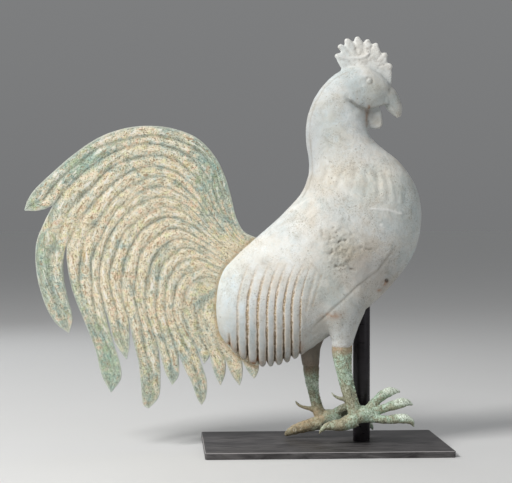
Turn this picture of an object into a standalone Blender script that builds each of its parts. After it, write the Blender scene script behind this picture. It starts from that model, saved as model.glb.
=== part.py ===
"""A full-bodied cockerel weathervane on its display stand, in metres, +Z up.

The cockerel faces +X. Its cast body, with head, comb and thighs, holds a sheet tail in a slot in the rump.
Two cast legs meet the thighs end to end. A steel post stands on a steel plate and enters the belly.
The origin is the middle of the plate's underside.
"""

import math

import bmesh
import bpy
import numpy as np

# The stand
PLATE_WIDTH = 0.378
PLATE_DEPTH = 0.203
PLATE_THICKNESS = 0.010
PLATE_CORNER_RADIUS = 0.004
PLATE_EDGE_BEVEL = 0.0008
POST_DIAMETER = 0.0267
POST_AHEAD_OF_PLATE_CENTRE = 0.0606
POST_DEPTH_IN_BODY = 0.085

# The cockerel: its carving and outlines are drawn in hundredths of this height above the plate
FIGURE_HEIGHT = 0.635
UNIT = FIGURE_HEIGHT / 100
POST_ON_DRAWING = -0.2

# The tail sheet, and the gap that every joint keeps
SHEET_THICKNESS = 0.0026
RIB_HEIGHT = 0.0009
JOINT_GAP = 0.0004

FLUTE_DEPTH = 0.0030
SECTION_SIDES = 26
STATIONS_PER_FLUTE = 4
FRONT_STATIONS = 26

# Across the bird, from the rump's edge to the face: where each section meets the back (x, z), where it
# meets the belly (x, z), and its half width
BODY_SECTIONS = [
    (-36.25, 33.6, -36.20, 31.9, 0.9),
    (-36.05, 36.2, -35.95, 29.4, 1.7),
    (-35.60, 39.3, -35.40, 27.0, 2.6),
    (-34.30, 42.6, -34.20, 24.9, 3.7),
    (-32.00, 45.3, -32.00, 22.2, 4.9),
    (-29.00, 48.2, -29.00, 20.0, 6.1),
    (-25.50, 51.2, -25.50, 18.6, 7.3),
    (-22.00, 54.3, -21.50, 18.8, 8.4),
    (-18.50, 57.7, -17.00, 20.4, 9.2),
    (-16.00, 60.3, -11.50, 24.0, 9.8),
    (-14.50, 62.6, -5.00, 28.3, 10.1),
    (-13.60, 65.0, 2.00, 33.5, 9.9),
    (-13.20, 67.0, 7.90, 39.5, 9.5),
    (-13.25, 69.0, 12.00, 44.9, 9.0),
    (-13.50, 71.0, 14.15, 51.0, 8.3),
    (-13.80, 73.0, 14.60, 57.0, 7.6),
    (-14.00, 75.0, 13.00, 63.5, 6.9),
    (-14.05, 77.0, 9.20, 69.0, 6.2),
    (-13.85, 79.0, 5.00, 72.4, 5.5),
    (-13.40, 81.0, 2.30, 75.0, 4.9),
    (-12.55, 83.4, 1.25, 77.3, 4.4),
    (-11.20, 86.0, 0.85, 79.6, 4.1),
    (-9.20, 88.6, 0.80, 81.6, 3.9),
    (-6.40, 91.1, 1.60, 82.5, 3.8),
    (-3.00, 92.6, 2.80, 82.9, 3.7),
    (0.40, 92.7, 4.10, 83.3, 3.4),
    (3.40, 91.5, 5.30, 83.8, 2.8),
    (5.60, 89.8, 6.30, 84.7, 2.1),
    (6.90, 88.0, 6.90, 85.9, 1.2),
]
SECTION_ROUNDNESS = 0.9
RUMP_SECTIONS = 8.4

# The rump's flutes: where each groove meets the lower edge, and how high the grooves and lobes reach
FLUTE_GROOVES = [-33.0, -31.0, -28.6, -26.0, -23.7, -21.7, -19.5, -17.6, -15.3]
RUMP_END = -36.2
FLUTE_FADE_TOP = 42.0
FLUTE_FULL_BELOW = 33.0
FLUTE_LEAN_ABOVE = 32.0
FLUTE_LEAN = 0.02
LOBE_RISE = 2.2
LOBE_TOP = 26.0

# Each thigh's sections from inside the belly to the leg: x, z, radius fore and aft, radius across
RIGHT_THIGH = [(-6.6, 38.0, 7.2, 4.3), (-6.5, 34.0, 7.0, 4.3), (-6.2, 31.4, 5.8, 4.1), (-5.9, 29.4, 4.6, 3.7),
               (-5.6, 27.4, 3.5, 3.2), (-5.6, 25.5, 2.8, 2.7), (-5.73, 23.8, 2.52, 2.5)]
LEFT_THIGH = [(-9.5, 37.0, 6.5, 4.0), (-10.6, 32.0, 6.0, 3.9), (-11.5, 28.0, 4.5, 3.6), (-12.3, 24.0, 3.1, 3.0),
              (-12.4, 21.0, 2.5, 2.5), (-12.2, 18.2, 2.15, 2.15)]
LEG_SPREAD = 5.0

# The head's own forms
COMB_FOCUS = (0.5, 91.0)
COMB_POINTS = [(-6.05, 95.3), (-5.4, 97.5), (-3.75, 98.95), (-1.2, 99.45), (1.3, 98.85), (3.3, 97.95),
               (5.55, 95.5), (6.8, 92.8)]
COMB_VALLEYS = [(-5.1, 96.3), (-4.1, 97.5), (-2.0, 98.3), (0.35, 98.4), (2.4, 97.7), (4.75, 95.8), (6.1, 93.6)]
COMB_POINT_RADIUS = 0.75
COMB_BACK = [(-3.5, 90.5), (-5.0, 91.8), (-6.2, 93.8)]
COMB_FRONT = [(7.4, 91.2), (7.35, 89.6), (7.1, 87.8), (5.5, 87.0), (1.0, 89.5)]
COMB_HALF_THICKNESS = 0.62
BEAK = [(4.6, 86.6, 2.2, 1.9), (6.2, 85.4, 2.45, 1.8), (7.25, 84.2, 2.05, 1.45), (8.2, 82.8, 1.6, 1.1),
        (8.85, 81.4, 1.1, 0.8), (9.1, 80.4, 0.6, 0.5)]
WATTLE = [(1.9, 83.6), (1.35, 81.6), (1.05, 79.6), (1.2, 78.1), (1.9, 77.35), (3.1, 77.15), (4.3, 77.35),
          (5.0, 78.2), (5.05, 79.3), (4.85, 80.8), (4.55, 82.4), (4.3, 84.0)]
WATTLE_HALF_THICKNESS = 0.6
EYE = (1.35, 88.75)
EYE_OUT = 3.0
EYE_RADIUS = 0.75

# The legs, drawn for the right one at its own depth: x, z, how far out from the leg's line, radius
RIGHT_SHANK = [(-5.73, 23.8, 0, 2.45), (-5.58, 20.5, 0, 2.15), (-5.2, 17.6, 0, 1.87), (-4.55, 14.6, 0, 1.77),
               (-3.86, 12.2, 0, 1.7), (-3.2, 9.7, 0, 1.65), (-2.2, 7.7, 0, 1.75), (-0.76, 7.2, 0, 1.7)]
LEFT_SHANK = [(-12.2, 18.2, 0, 1.95), (-12.05, 16.0, 0, 1.85), (-11.95, 14.2, 0, 1.65), (-11.5, 11.3, 0, 1.42),
              (-10.95, 8.9, 0, 1.38), (-10.4, 7.2, 0, 1.45), (-9.5, 5.4, 0, 1.6), (-8.06, 4.9, 0, 1.6)]
PALM = [(-3.4, 6.6, 0, 1.5), (-2.3, 7.0, 0, 2.0), (-0.76, 7.35, 0, 2.1), (1.2, 7.3, 0, 2.0), (2.6, 7.3, 0.1, 1.5)]
BACK_TOE = [(-2.4, 6.2, 0, 1.9), (-4.0, 5.4, 0, 1.75), (-5.8, 4.8, 0, 1.5), (-7.65, 4.6, 0, 1.25),
            (-9.4, 4.4, 0.1, 0.95), (-10.6, 3.7, 0.1, 0.55), (-11.3, 2.6, 0.1, 0.16)]
SPUR = [(-3.2, 10.4, 0, 0.75), (-4.6, 10.85, 0, 0.6), (-5.9, 11.15, 0, 0.45), (-7.0, 11.5, 0, 0.38),
        (-7.85, 12.1, 0, 0.28), (-8.3, 12.8, 0, 0.12)]
UPPER_TOE = [(0.4, 8.0, -0.1, 1.3), (1.9, 9.6, -0.5, 1.05), (3.4, 11.1, -0.9, 0.88), (4.85, 12.3, -1.2, 0.85),
             (6.2, 12.9, -1.35, 0.75), (7.5, 13.0, -1.45, 0.5), (8.9, 12.7, -1.5, 0.13)]
MIDDLE_TOE = [(0.8, 7.6, 0.0, 1.4), (3.2, 8.3, 0.3, 1.0), (5.4, 9.1, 0.5, 0.85), (7.4, 9.8, 0.7, 0.95),
              (9.1, 10.35, 0.8, 0.88), (10.4, 10.4, 0.85, 0.55), (11.65, 9.9, 0.9, 0.13)]
LOWER_TOE = [(0.8, 6.75, 0.4, 1.4), (3.4, 6.25, 1.4, 0.95), (5.65, 6.3, 2.3, 0.82), (7.6, 6.7, 2.9, 0.95),
             (9.3, 6.8, 3.3, 0.9), (10.6, 6.15, 3.5, 0.55), (11.35, 4.8, 3.6, 0.13)]
# How far each limb of a foot is moved back and down from the drawing, and how steeply its toes droop
RIGHT_FOOT = [(PALM, 0, 0, 0), (BACK_TOE, 0, 0, 0), (SPUR, 0, 0, 0), (UPPER_TOE, 0, 0, 0),
              (MIDDLE_TOE, 0, 0, 0), (LOWER_TOE, 0, 0, 0)]
LEFT_FOOT = [(PALM, 7.3, 2.3, 0), (BACK_TOE, 7.3, 2.3, 0), (SPUR, 7.8, 3.5, 0), (UPPER_TOE, 7.3, 2.3, 0.35),
             (MIDDLE_TOE, 7.3, 2.3, 0.22), (LOWER_TOE, 7.3, 2.3, 0.10)]

# The tail: one rib line to each slit between two feathers, from its root in the rump to the slit's head
RIB_LINES = [
    [(-26.2, 50.4), (-27.6, 50.95), (-29.1, 51.7), (-30.4, 53.3), (-31.6, 56.3), (-32.5, 60.2), (-34.0, 65.4),
     (-36.6, 70.6), (-41.0, 75.0), (-47.0, 77.3), (-53.0, 77.9), (-59.0, 77.2), (-65.0, 75.0), (-71.0, 71.0),
     (-76.0, 66.7), (-79.6, 63.4)],
    [(-26.2, 48.6), (-30.2, 50.4), (-34.6, 56.5), (-37.6, 64.0), (-42.0, 69.8), (-47.5, 72.8), (-53.5, 73.5),
     (-59.5, 72.2), (-65.5, 68.9), (-71.4, 64.1), (-76.2, 58.5)],
    [(-26.2, 46.7), (-31.4, 49.2), (-36.8, 55.3), (-40.8, 61.8), (-45.5, 66.2), (-50.5, 67.9), (-55.8, 67.2),
     (-61.0, 64.2), (-66.2, 59.2), (-70.3, 54.0), (-72.9, 48.9)],
    [(-26.2, 44.9), (-32.2, 47.8), (-38.2, 53.2), (-43.2, 58.2), (-48.2, 60.4), (-53.4, 59.8), (-58.4, 56.4),
     (-62.2, 51.2), (-64.5, 45.0), (-64.9, 39.0), (-63.7, 33.4)],
    [(-26.2, 43.1), (-32.6, 46.0), (-39.4, 51.3), (-44.6, 54.8), (-49.6, 55.2), (-54.4, 52.2), (-57.9, 47.0),
     (-59.4, 41.0), (-59.2, 35.4), (-57.7, 30.3)],
    [(-26.2, 41.3), (-33.2, 44.2), (-39.8, 48.4), (-44.8, 50.2), (-49.0, 48.6), (-52.2, 44.0), (-53.5, 38.0),
     (-53.0, 31.2), (-50.8, 24.8)],
    [(-26.2, 39.4), (-33.6, 42.0), (-39.6, 44.8), (-44.0, 44.8), (-47.3, 41.6), (-48.8, 36.2), (-48.2, 29.2),
     (-45.6, 22.0)],
    [(-26.2, 37.2), (-33.6, 39.4), (-39.2, 40.8), (-42.9, 38.8), (-44.5, 34.6), (-43.9, 29.4), (-41.3, 24.1)],
    [(-26.2, 34.6), (-33.2, 36.2), (-38.2, 35.8), (-40.7, 32.6), (-40.9, 28.8), (-39.7, 25.0), (-37.8, 21.4)],
    [(-26.2, 31.4), (-31.4, 31.8), (-34.8, 30.2), (-36.2, 27.2), (-35.6, 23.6), (-33.9, 20.1)],
    [(-26.2, 28.0), (-28.6, 27.4), (-30.4, 25.2), (-30.6, 22.6), (-29.8, 20.0)],
    [(-26.0, 25.0), (-25.8, 22.6), (-25.7, 20.2)],
]

# Below the slits each feather hangs free: the points of its outer side, its tip and its inner side
FREE_FEATHERS = [
    ([(-81.3, 61.6), (-82.7, 59.4)], (-83.2, 57.3), [(-78.0, 57.6), (-80.4, 57.1)]),
    ([(-78.6, 53.8), (-80.4, 48.6), (-80.2, 41.5), (-78.3, 34.4), (-75.6, 29.6)], (-72.4, 27.2),
     [(-73.6, 45.0), (-73.5, 40.0), (-72.4, 35.0), (-71.5, 30.6)]),
    ([(-72.8, 44.4), (-71.4, 37.2), (-68.2, 29.0), (-65.9, 22.8), (-64.5, 17.0)], (-62.1, 12.5),
     [(-62.9, 29.4), (-61.4, 24.2), (-60.0, 19.8), (-59.7, 15.9)]),
    ([(-62.6, 29.9), (-61.3, 25.0)], (-58.3, 20.7), [(-57.6, 27.2), (-57.6, 24.0)]),
    ([(-56.8, 25.6), (-55.4, 19.8), (-54.8, 14.0), (-54.3, 9.6)], (-52.9, 8.5),
     [(-50.3, 21.4), (-50.0, 16.4), (-50.4, 11.4)]),
    ([(-50.0, 21.6), (-48.9, 17.6)], (-47.1, 14.3), [(-45.4, 19.0), (-45.6, 16.3)]),
    ([(-44.2, 18.6), (-42.4, 14.8), (-41.0, 11.0)], (-39.9, 9.3), [(-40.2, 20.2), (-38.6, 15.2), (-38.8, 11.2)]),
    ([(-40.4, 21.6)], (-39.2, 19.5), [(-38.5, 20.2)]),
    ([(-37.4, 19.2), (-36.5, 16.4)], (-35.2, 14.1), [(-33.9, 18.2), (-34.2, 16.2)]),
    ([(-33.0, 17.7), (-31.8, 15.6)], (-30.5, 14.1), [(-29.7, 18.0), (-29.9, 15.7)]),
    ([(-29.0, 18.4), (-27.8, 16.6)], (-26.9, 15.8), [(-25.7, 18.2), (-26.2, 16.6)]),
]
RIBS_PER_FEATHER = [2, 2, 3, 2, 2, 2, 2, 1, 1, 1, 1]
ROOT_ROWS = 12
FREE_ROWS = (0.30, 0.56, 0.79, 0.94, 1.0)
RIB_FADE_WIDTH = 2.0
SLOT_INNER = -25.45
SLOT_OUTER = -42.0
SLOT_BOTTOM = 14.0
SLOT_TOP = 54.0

FINISHES = {
    "zinc": ((0.66, 0.66, 0.62), 0.62, 0.0),
    "sheet_copper": ((0.46, 0.42, 0.30), 0.75, 0.1),
    "verdigris": ((0.36, 0.44, 0.34), 0.70, 0.1),
    "black_steel": ((0.022, 0.019, 0.020), 0.42, 0.6),
}


def clear_scene():
    """Removes every object of the open scene."""
    for found in list(bpy.data.objects):
        bpy.data.objects.remove(found)


def new_collection(name):
    """A collection in the scene."""
    made = bpy.data.collections.new(name)
    bpy.context.scene.collection.children.link(made)
    return made


def finish(name):
    """A Principled material from the finishes above."""
    colour, roughness, metallic = FINISHES[name]
    made = bpy.data.materials.get(name) or bpy.data.materials.new(name)
    made.use_nodes = True
    shader = made.node_tree.nodes["Principled BSDF"]
    shader.inputs["Base Color"].default_value = (*colour, 1)
    shader.inputs["Roughness"].default_value = roughness
    shader.inputs["Metallic"].default_value = metallic
    return made


def figure_origin():
    """Where the drawing's zero lies: on the plate, with the drawn post on the real one."""
    return (POST_AHEAD_OF_PLATE_CENTRE - POST_ON_DRAWING * UNIT, 0.0, PLATE_THICKNESS)


def place(mesh, name, collection, on_figure=True):
    """An object for the mesh, at the figure's origin unless told otherwise."""
    made = bpy.data.objects.new(name, mesh)
    collection.objects.link(made)
    if on_figure:
        made.location = figure_origin()
    return made


def curve_through(points, shares):
    """Points at the given shares of the length of a Catmull-Rom curve through the given ones."""
    given = np.array(points, float)
    padded = np.vstack([2 * given[0] - given[1], given, 2 * given[-1] - given[-2]])
    steps = np.linspace(0, 1, 12, endpoint=False)[:, None]
    runs = []
    for before, start, end, after in zip(padded, padded[1:], padded[2:], padded[3:]):
        runs.append(catmull(before, start, end, after, steps))
    dense = np.vstack([*runs, given[-1:]])
    travelled = np.concatenate([[0], np.cumsum(np.linalg.norm(np.diff(dense, axis=0), axis=1))])
    wanted = travelled[-1] * np.array(shares)
    return np.column_stack([np.interp(wanted, travelled, column) for column in dense.T])


def catmull(before, start, end, after, share):
    """The Catmull-Rom blend between start and end, at a share from 0 to 1."""
    return 0.5 * (2 * start + (end - before) * share + (2 * before - 5 * start + 4 * end - after) * share**2
                  + (3 * start - before - 3 * end + after) * share**3)


def rows_at(table, positions):
    """A table's rows at fractional row numbers, smoothly blended."""
    given = np.array(table, float)
    padded = np.vstack([2 * given[0] - given[1], given, 2 * given[-1] - given[-2]])
    found = []
    for position in positions:
        first = min(int(position), len(given) - 2)
        found.append(catmull(*padded[first:first + 4], position - first))
    return np.array(found)


def smoothstep(low, high, value):
    """0 at low, 1 at high, with a smooth run between them."""
    share = np.clip((value - low) / (high - low), 0, 1)
    return share * share * (3 - 2 * share)


def mesh_from_rings(name, rings):
    """A closed mesh through rings of equal length, with a flat cap at each end."""
    built = bmesh.new()
    loops = [[built.verts.new(point) for point in ring] for ring in rings]
    count = len(loops[0])
    for near, far in zip(loops, loops[1:]):
        for side in range(count):
            after = (side + 1) % count
            built.faces.new((near[side], near[after], far[after], far[side]))
    built.faces.new(loops[0])
    built.faces.new(loops[-1])
    bmesh.ops.recalc_face_normals(built, faces=built.faces)
    made = bpy.data.meshes.new(name)
    built.to_mesh(made)
    built.free()
    return made


def rump_positions():
    """Section positions with one on every flute's groove and some between them."""
    fine = np.linspace(0, RUMP_SECTIONS, 400)
    belly_x = rows_at(BODY_SECTIONS, fine)[:, 2]
    edges = [RUMP_END, *FLUTE_GROOVES]
    wanted = []
    for left, right in zip(edges, edges[1:]):
        wanted += list(np.linspace(left, right, STATIONS_PER_FLUTE, endpoint=False))
    wanted.append(edges[-1])
    return np.interp(wanted, belly_x, fine)


def body_rings():
    """The bird's sections from the rump's edge to the face, as rings of points in drawing units."""
    rump = rump_positions()
    front = np.linspace(rump[-1], len(BODY_SECTIONS) - 1, FRONT_STATIONS + 1)[1:]
    angles = np.linspace(0, 2 * math.pi, SECTION_SIDES, endpoint=False)
    rings = []
    for back_x, back_z, belly_x, belly_z, half_width in rows_at(BODY_SECTIONS, [*rump, *front]):
        share = (1 + np.cos(angles)) / 2
        across = np.sign(np.sin(angles)) * np.abs(np.sin(angles)) ** SECTION_ROUNDNESS
        rings.append(np.column_stack([belly_x + (back_x - belly_x) * share, half_width * across,
                                      belly_z + (back_z - belly_z) * share]))
    return rings


def place_in_flute(x, z):
    """How far a point lies from its flute's middle: 0 there and 1 at a groove, or None outside the flutes."""
    upright_x = x - FLUTE_LEAN * max(0.0, z - FLUTE_LEAN_ABOVE) ** 2
    edges = [RUMP_END, *FLUTE_GROOVES]
    for left, right in zip(edges, edges[1:]):
        if left <= upright_x <= right:
            return abs(2 * (upright_x - left) / (right - left) - 1)
    return None


def carve_flutes(mesh):
    """Sinks the grooves between the rump's feathers and rounds each feather's lower end."""
    normals = [vertex.normal.copy() for vertex in mesh.vertices]
    for vertex, normal in zip(mesh.vertices, normals):
        x, z = vertex.co.x / UNIT, vertex.co.z / UNIT
        offset = place_in_flute(x, z)
        if offset is None:
            continue
        fall = 1 - math.sqrt(max(0.0, 1 - offset**2))
        full = 1 - smoothstep(FLUTE_FULL_BELOW, FLUTE_FADE_TOP, z)
        vertex.co -= normal * FLUTE_DEPTH * fall * full
        vertex.co.z += LOBE_RISE * UNIT * fall * (1 - smoothstep(LOBE_TOP - 6, LOBE_TOP, z))


def body_shell(collection):
    """The bird from rump to face, with its flutes."""
    mesh = mesh_from_rings("cockerel_body", [ring * UNIT for ring in body_rings()])
    carve_flutes(mesh)
    return place(mesh, "cockerel_body", collection)


def thigh(name, sections, side, collection):
    """A thigh from inside the belly down to its flat end, half a joint gap above the leg."""
    table = rows_at(sections, np.linspace(0, len(sections) - 1, 7))
    angles = np.linspace(0, 2 * math.pi, 16, endpoint=False)
    rings = [np.column_stack([x + along * np.cos(angles), side * LEG_SPREAD + across * np.sin(angles),
                              np.full(len(angles), z)]) * UNIT for x, z, along, across in table]
    rings[-1][:, 2] += JOINT_GAP / 2
    return place(mesh_from_rings(name, rings), name, collection)


def beak(collection):
    """The hooked beak, its rings square to its own curve."""
    table = rows_at(BEAK, np.linspace(0, len(BEAK) - 1, 7))
    angles = np.linspace(0, 2 * math.pi, 12, endpoint=False)
    along = np.gradient(table[:, :2], axis=0)
    along /= np.linalg.norm(along, axis=1)[:, None]
    rings = []
    for (x, z, tall, wide), (run_x, run_z) in zip(table, along):
        rings.append(np.column_stack([x - run_z * tall * np.cos(angles), wide * np.sin(angles),
                                      z + run_x * tall * np.cos(angles)]) * UNIT)
    return place(mesh_from_rings("beak", rings), "beak", collection)


def flat_form(name, outline, half_thickness, collection):
    """A flat outline in the bird's middle plane, extruded both ways and rounded at its edge, as a mesh."""
    rounding = half_thickness * 0.45
    drawn = bpy.data.curves.new(name, "CURVE")
    drawn.dimensions = "2D"
    drawn.fill_mode = "BOTH"
    drawn.extrude = (half_thickness - rounding) * UNIT
    drawn.bevel_depth = rounding * UNIT
    drawn.bevel_resolution = 0
    drawn.offset = -rounding * UNIT
    spline = drawn.splines.new("POLY")
    spline.points.add(len(outline) - 1)
    for point, (x, z) in zip(spline.points, outline):
        point.co = (x * UNIT, z * UNIT, 0, 1)
    spline.use_cyclic_u = True
    guide = place(drawn, name, collection)
    guide.rotation_euler.x = math.pi / 2
    return solid_from_curve(guide, collection)


def solid_from_curve(guide, collection):
    """Turns a curve object into a mesh object in its place, with its caps welded on."""
    bpy.context.view_layer.update()
    graph = bpy.context.evaluated_depsgraph_get()
    mesh = bpy.data.meshes.new_from_object(guide.evaluated_get(graph))
    built = bmesh.new()
    built.from_mesh(mesh)
    bmesh.ops.remove_doubles(built, verts=built.verts, dist=0.00002)
    bmesh.ops.recalc_face_normals(built, faces=built.faces)
    built.to_mesh(mesh)
    built.free()
    name = guide.name
    world = guide.matrix_world.copy()
    bpy.data.objects.remove(guide)
    made = bpy.data.objects.new(name, mesh)
    collection.objects.link(made)
    made.matrix_world = world
    return made


def comb_outline():
    """The comb's edge: a rounded point on each ray from the focus, with a valley between each two."""
    outline = list(COMB_BACK)
    for number, (x, z) in enumerate(COMB_POINTS):
        ray = math.atan2(z - COMB_FOCUS[1], x - COMB_FOCUS[0])
        for turn in (75, 35, -5, -45, -80):
            angle = ray + math.radians(turn)
            outline.append((x + COMB_POINT_RADIUS * math.cos(angle), z + COMB_POINT_RADIUS * math.sin(angle)))
        if number < len(COMB_VALLEYS):
            outline.append(COMB_VALLEYS[number])
    return outline + COMB_FRONT


def eye(side, collection):
    """A low round boss on one side of the head."""
    bpy.ops.mesh.primitive_uv_sphere_add(segments=10, ring_count=6, radius=EYE_RADIUS * UNIT)
    made = bpy.context.object
    made.name = "eye"
    for owner in list(made.users_collection):
        owner.objects.unlink(made)
    collection.objects.link(made)
    origin = figure_origin()
    made.location = (origin[0] + EYE[0] * UNIT, side * EYE_OUT * UNIT, origin[2] + EYE[1] * UNIT)
    return made


def boolean(target, tool, operation):
    """Joins or cuts target with tool, and removes the tool."""
    step = target.modifiers.new(operation, "BOOLEAN")
    step.operation = operation
    step.object = tool
    bpy.context.view_layer.update()
    graph = bpy.context.evaluated_depsgraph_get()
    mesh = bpy.data.meshes.new_from_object(target.evaluated_get(graph))
    target.modifiers.clear()
    target.data = mesh
    bpy.data.objects.remove(tool)


def weld_slivers(target, distance):
    """Merges the vertices that a boolean left almost on top of each other."""
    built = bmesh.new()
    built.from_mesh(target.data)
    bmesh.ops.triangulate(built, faces=built.faces)
    bmesh.ops.dissolve_degenerate(built, dist=distance, edges=built.edges)
    built.to_mesh(target.data)
    built.free()


def dress(target, material_name, smooth_below=35):
    """Gives a piece its finish and shades its round faces smooth."""
    target.data.materials.clear()
    target.data.materials.append(finish(material_name))
    target.data.shade_smooth()
    target.data.set_sharp_from_angle(angle=math.radians(smooth_below))


def slot_cutter(collection):
    """The slab that clears the tail's sheet out of the rump."""
    corners = [(SLOT_OUTER, SLOT_BOTTOM), (SLOT_INNER, SLOT_BOTTOM), (SLOT_INNER, SLOT_TOP), (SLOT_OUTER, SLOT_TOP)]
    half = SHEET_THICKNESS / 2 + JOINT_GAP
    rings = [[(x * UNIT, y, z * UNIT) for x, z in corners] for y in (-half, half)]
    return place(mesh_from_rings("slot_cutter", rings), "slot_cutter", collection)


def belly_height_at_post():
    """The height of the belly's underside on the post's axis, above the world's floor."""
    fine = rows_at(BODY_SECTIONS, np.linspace(RUMP_SECTIONS, 15, 200))
    return PLATE_THICKNESS + float(np.interp(POST_ON_DRAWING, fine[:, 2], fine[:, 3])) * UNIT


def upright_cylinder(name, diameter, bottom, top, collection, sides=32):
    """A cylinder on the post's axis."""
    bpy.ops.mesh.primitive_cylinder_add(vertices=sides, radius=diameter / 2, depth=top - bottom)
    made = bpy.context.object
    made.name = made.data.name = name
    for owner in list(made.users_collection):
        owner.objects.unlink(made)
    collection.objects.link(made)
    made.location = (POST_AHEAD_OF_PLATE_CENTRE, 0, (top + bottom) / 2)
    return made


def build_body(parts, cutters):
    """The cast body: shell, thighs, comb, beak, wattle and eyes in one, cut for the tail and the post."""
    body = body_shell(parts)
    added = [
        thigh("right_thigh", RIGHT_THIGH, -1, cutters),
        thigh("left_thigh", LEFT_THIGH, 1, cutters),
        beak(cutters),
        flat_form("comb", comb_outline(), COMB_HALF_THICKNESS, cutters),
        flat_form("wattle", WATTLE, WATTLE_HALF_THICKNESS, cutters),
        eye(-1, cutters),
        eye(1, cutters),
    ]
    for form in added:
        boolean(body, form, "UNION")
    boolean(body, slot_cutter(cutters), "DIFFERENCE")
    belly = belly_height_at_post()
    socket = upright_cylinder("post_socket", POST_DIAMETER + 2 * JOINT_GAP, belly - 6 * UNIT,
                              belly + POST_DEPTH_IN_BODY + JOINT_GAP, cutters)
    boolean(body, socket, "DIFFERENCE")
    weld_slivers(body, 0.00003)
    dress(body, "zinc")
    return body


def taper(name, points, side, collection, sides_step=2, count=7):
    """A round tapering limb through points (x, z, out, radius), as a closed mesh."""
    table = curve_through(points, np.linspace(0, 1, count))
    drawn = bpy.data.curves.new(name, "CURVE")
    drawn.dimensions = "3D"
    drawn.bevel_depth = UNIT
    drawn.bevel_resolution = sides_step
    drawn.use_fill_caps = True
    spline = drawn.splines.new("POLY")
    spline.points.add(len(table) - 1)
    for point, (x, z, out, radius) in zip(spline.points, table):
        point.co = (x * UNIT, side * (LEG_SPREAD + out) * UNIT, z * UNIT, 1)
        point.radius = radius
    return solid_from_curve(place(drawn, name, collection), collection)


def posed(points, back, down, droop):
    """A limb's points moved back and down, and lowered further the further ahead of its root they lie."""
    root = points[0][0]
    return [(x - back, z - down - droop * (x - root), out, radius) for x, z, out, radius in points]


def build_leg(name, shank, foot, side, parts, cutters):
    """A leg: shank, palm, spur, back toe and three front toes, cast as one."""
    leg = taper(name, shank, side, parts, sides_step=3, count=11)
    shank_top = PLATE_THICKNESS + shank[0][1] * UNIT - JOINT_GAP / 2
    for number, (points, back, down, droop) in enumerate(foot):
        limb = taper(f"{name}_{number}", posed(points, back, down, droop), side, cutters)
        boolean(leg, limb, "UNION")
    trim = new_block("trim", (1, 1, 0.2), (0, 0, shank_top + 0.1), cutters)
    boolean(leg, trim, "DIFFERENCE")
    weld_slivers(leg, 0.00003)
    dress(leg, "verdigris")
    return leg


def new_block(name, size, centre, collection):
    """A box of the given size about the given centre."""
    bpy.ops.mesh.primitive_cube_add(size=1)
    made = bpy.context.object
    made.name = made.data.name = name
    for vertex in made.data.vertices:
        vertex.co = [value * length for value, length in zip(vertex.co, size)]
    for owner in list(made.users_collection):
        owner.objects.unlink(made)
    collection.objects.link(made)
    made.location = centre
    return made


def rib_shape(share, ribs):
    """The sheet's rise across one feather: 1 on each rib and -1 in the hollows and at both sides."""
    return -np.cos(2 * math.pi * ribs * share)


def outside_body(points, outline):
    """How far each point lies outside the body's side outline, in drawing units, and 0 inside it."""
    starts, ends = outline, np.roll(outline, -1, axis=0)
    spans = ends - starts
    shares = np.clip(((points[:, None] - starts) * spans).sum(2) / (spans**2).sum(1), 0, 1)
    distance = np.linalg.norm(points[:, None] - (starts + shares[..., None] * spans), axis=2).min(1)
    crossings = ((starts[:, 1] > points[:, None, 1]) != (ends[:, 1] > points[:, None, 1]))
    slope = spans[:, 0] / np.where(spans[:, 1] == 0, 1e-9, spans[:, 1])
    reach = starts[:, 0] + (points[:, None, 1] - starts[:, 1]) * slope
    inside = (crossings & (points[:, None, 0] < reach)).sum(1) % 2 == 1
    return np.where(inside, 0.0, distance)


def body_outline():
    """The body's outline seen from the side, in drawing units."""
    table = rows_at(BODY_SECTIONS, np.linspace(0, len(BODY_SECTIONS) - 1, 90))
    return np.vstack([table[:, :2], table[::-1, 2:4]])


def feather_sides(number):
    """A feather's two sides from root to tip, as rows of points: along its rib lines, then free of them."""
    outer_free, tip, inner_free = FREE_FEATHERS[number]
    sides = []
    for line, free in ((RIB_LINES[number], outer_free), (RIB_LINES[number + 1], inner_free)):
        rooted = curve_through(line, np.linspace(0, 1, ROOT_ROWS))
        loose = curve_through([line[-1], *free, tip], FREE_ROWS)
        sides.append(np.vstack([rooted, loose]))
    return sides


def tail_sheet_mesh():
    """The ribbed sheet, one strip of faces to each feather, joined where the feathers join."""
    outline = body_outline()
    built = bmesh.new()
    for number, ribs in enumerate(RIBS_PER_FEATHER):
        outer, inner = feather_sides(number)
        shares = np.linspace(0, 1, 2 * ribs + 1)
        grid = []
        apart_before = np.zeros(len(shares))
        for row, (start, end) in enumerate(zip(outer, inner)):
            points = start + (end - start) * shares[:, None]
            apart = outside_body(points, outline)
            fade = smoothstep(0, RIB_FADE_WIDTH, np.minimum(apart, apart_before))
            apart_before = apart
            bound = 1 - smoothstep(ROOT_ROWS, ROOT_ROWS + len(FREE_ROWS) - 1, row)
            rise = rib_shape(shares, ribs) * fade * bound * RIB_HEIGHT
            grid.append([built.verts.new((x * UNIT, -lift, z * UNIT)) for (x, z), lift in zip(points, rise)])
        for near, far in zip(grid, grid[1:]):
            for column in range(len(shares) - 1):
                built.faces.new((near[column], near[column + 1], far[column + 1], far[column]))
    bmesh.ops.remove_doubles(built, verts=built.verts, dist=0.0001)
    bmesh.ops.recalc_face_normals(built, faces=built.faces)
    made = bpy.data.meshes.new("tail_sheet")
    built.to_mesh(made)
    built.free()
    return made


def build_tail(parts):
    """The sheet tail at its true thickness."""
    tail = place(tail_sheet_mesh(), "tail_sheet", parts)
    wall = tail.modifiers.new("sheet", "SOLIDIFY")
    wall.thickness = SHEET_THICKNESS
    wall.offset = 0
    dress(tail, "sheet_copper")
    return tail


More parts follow.
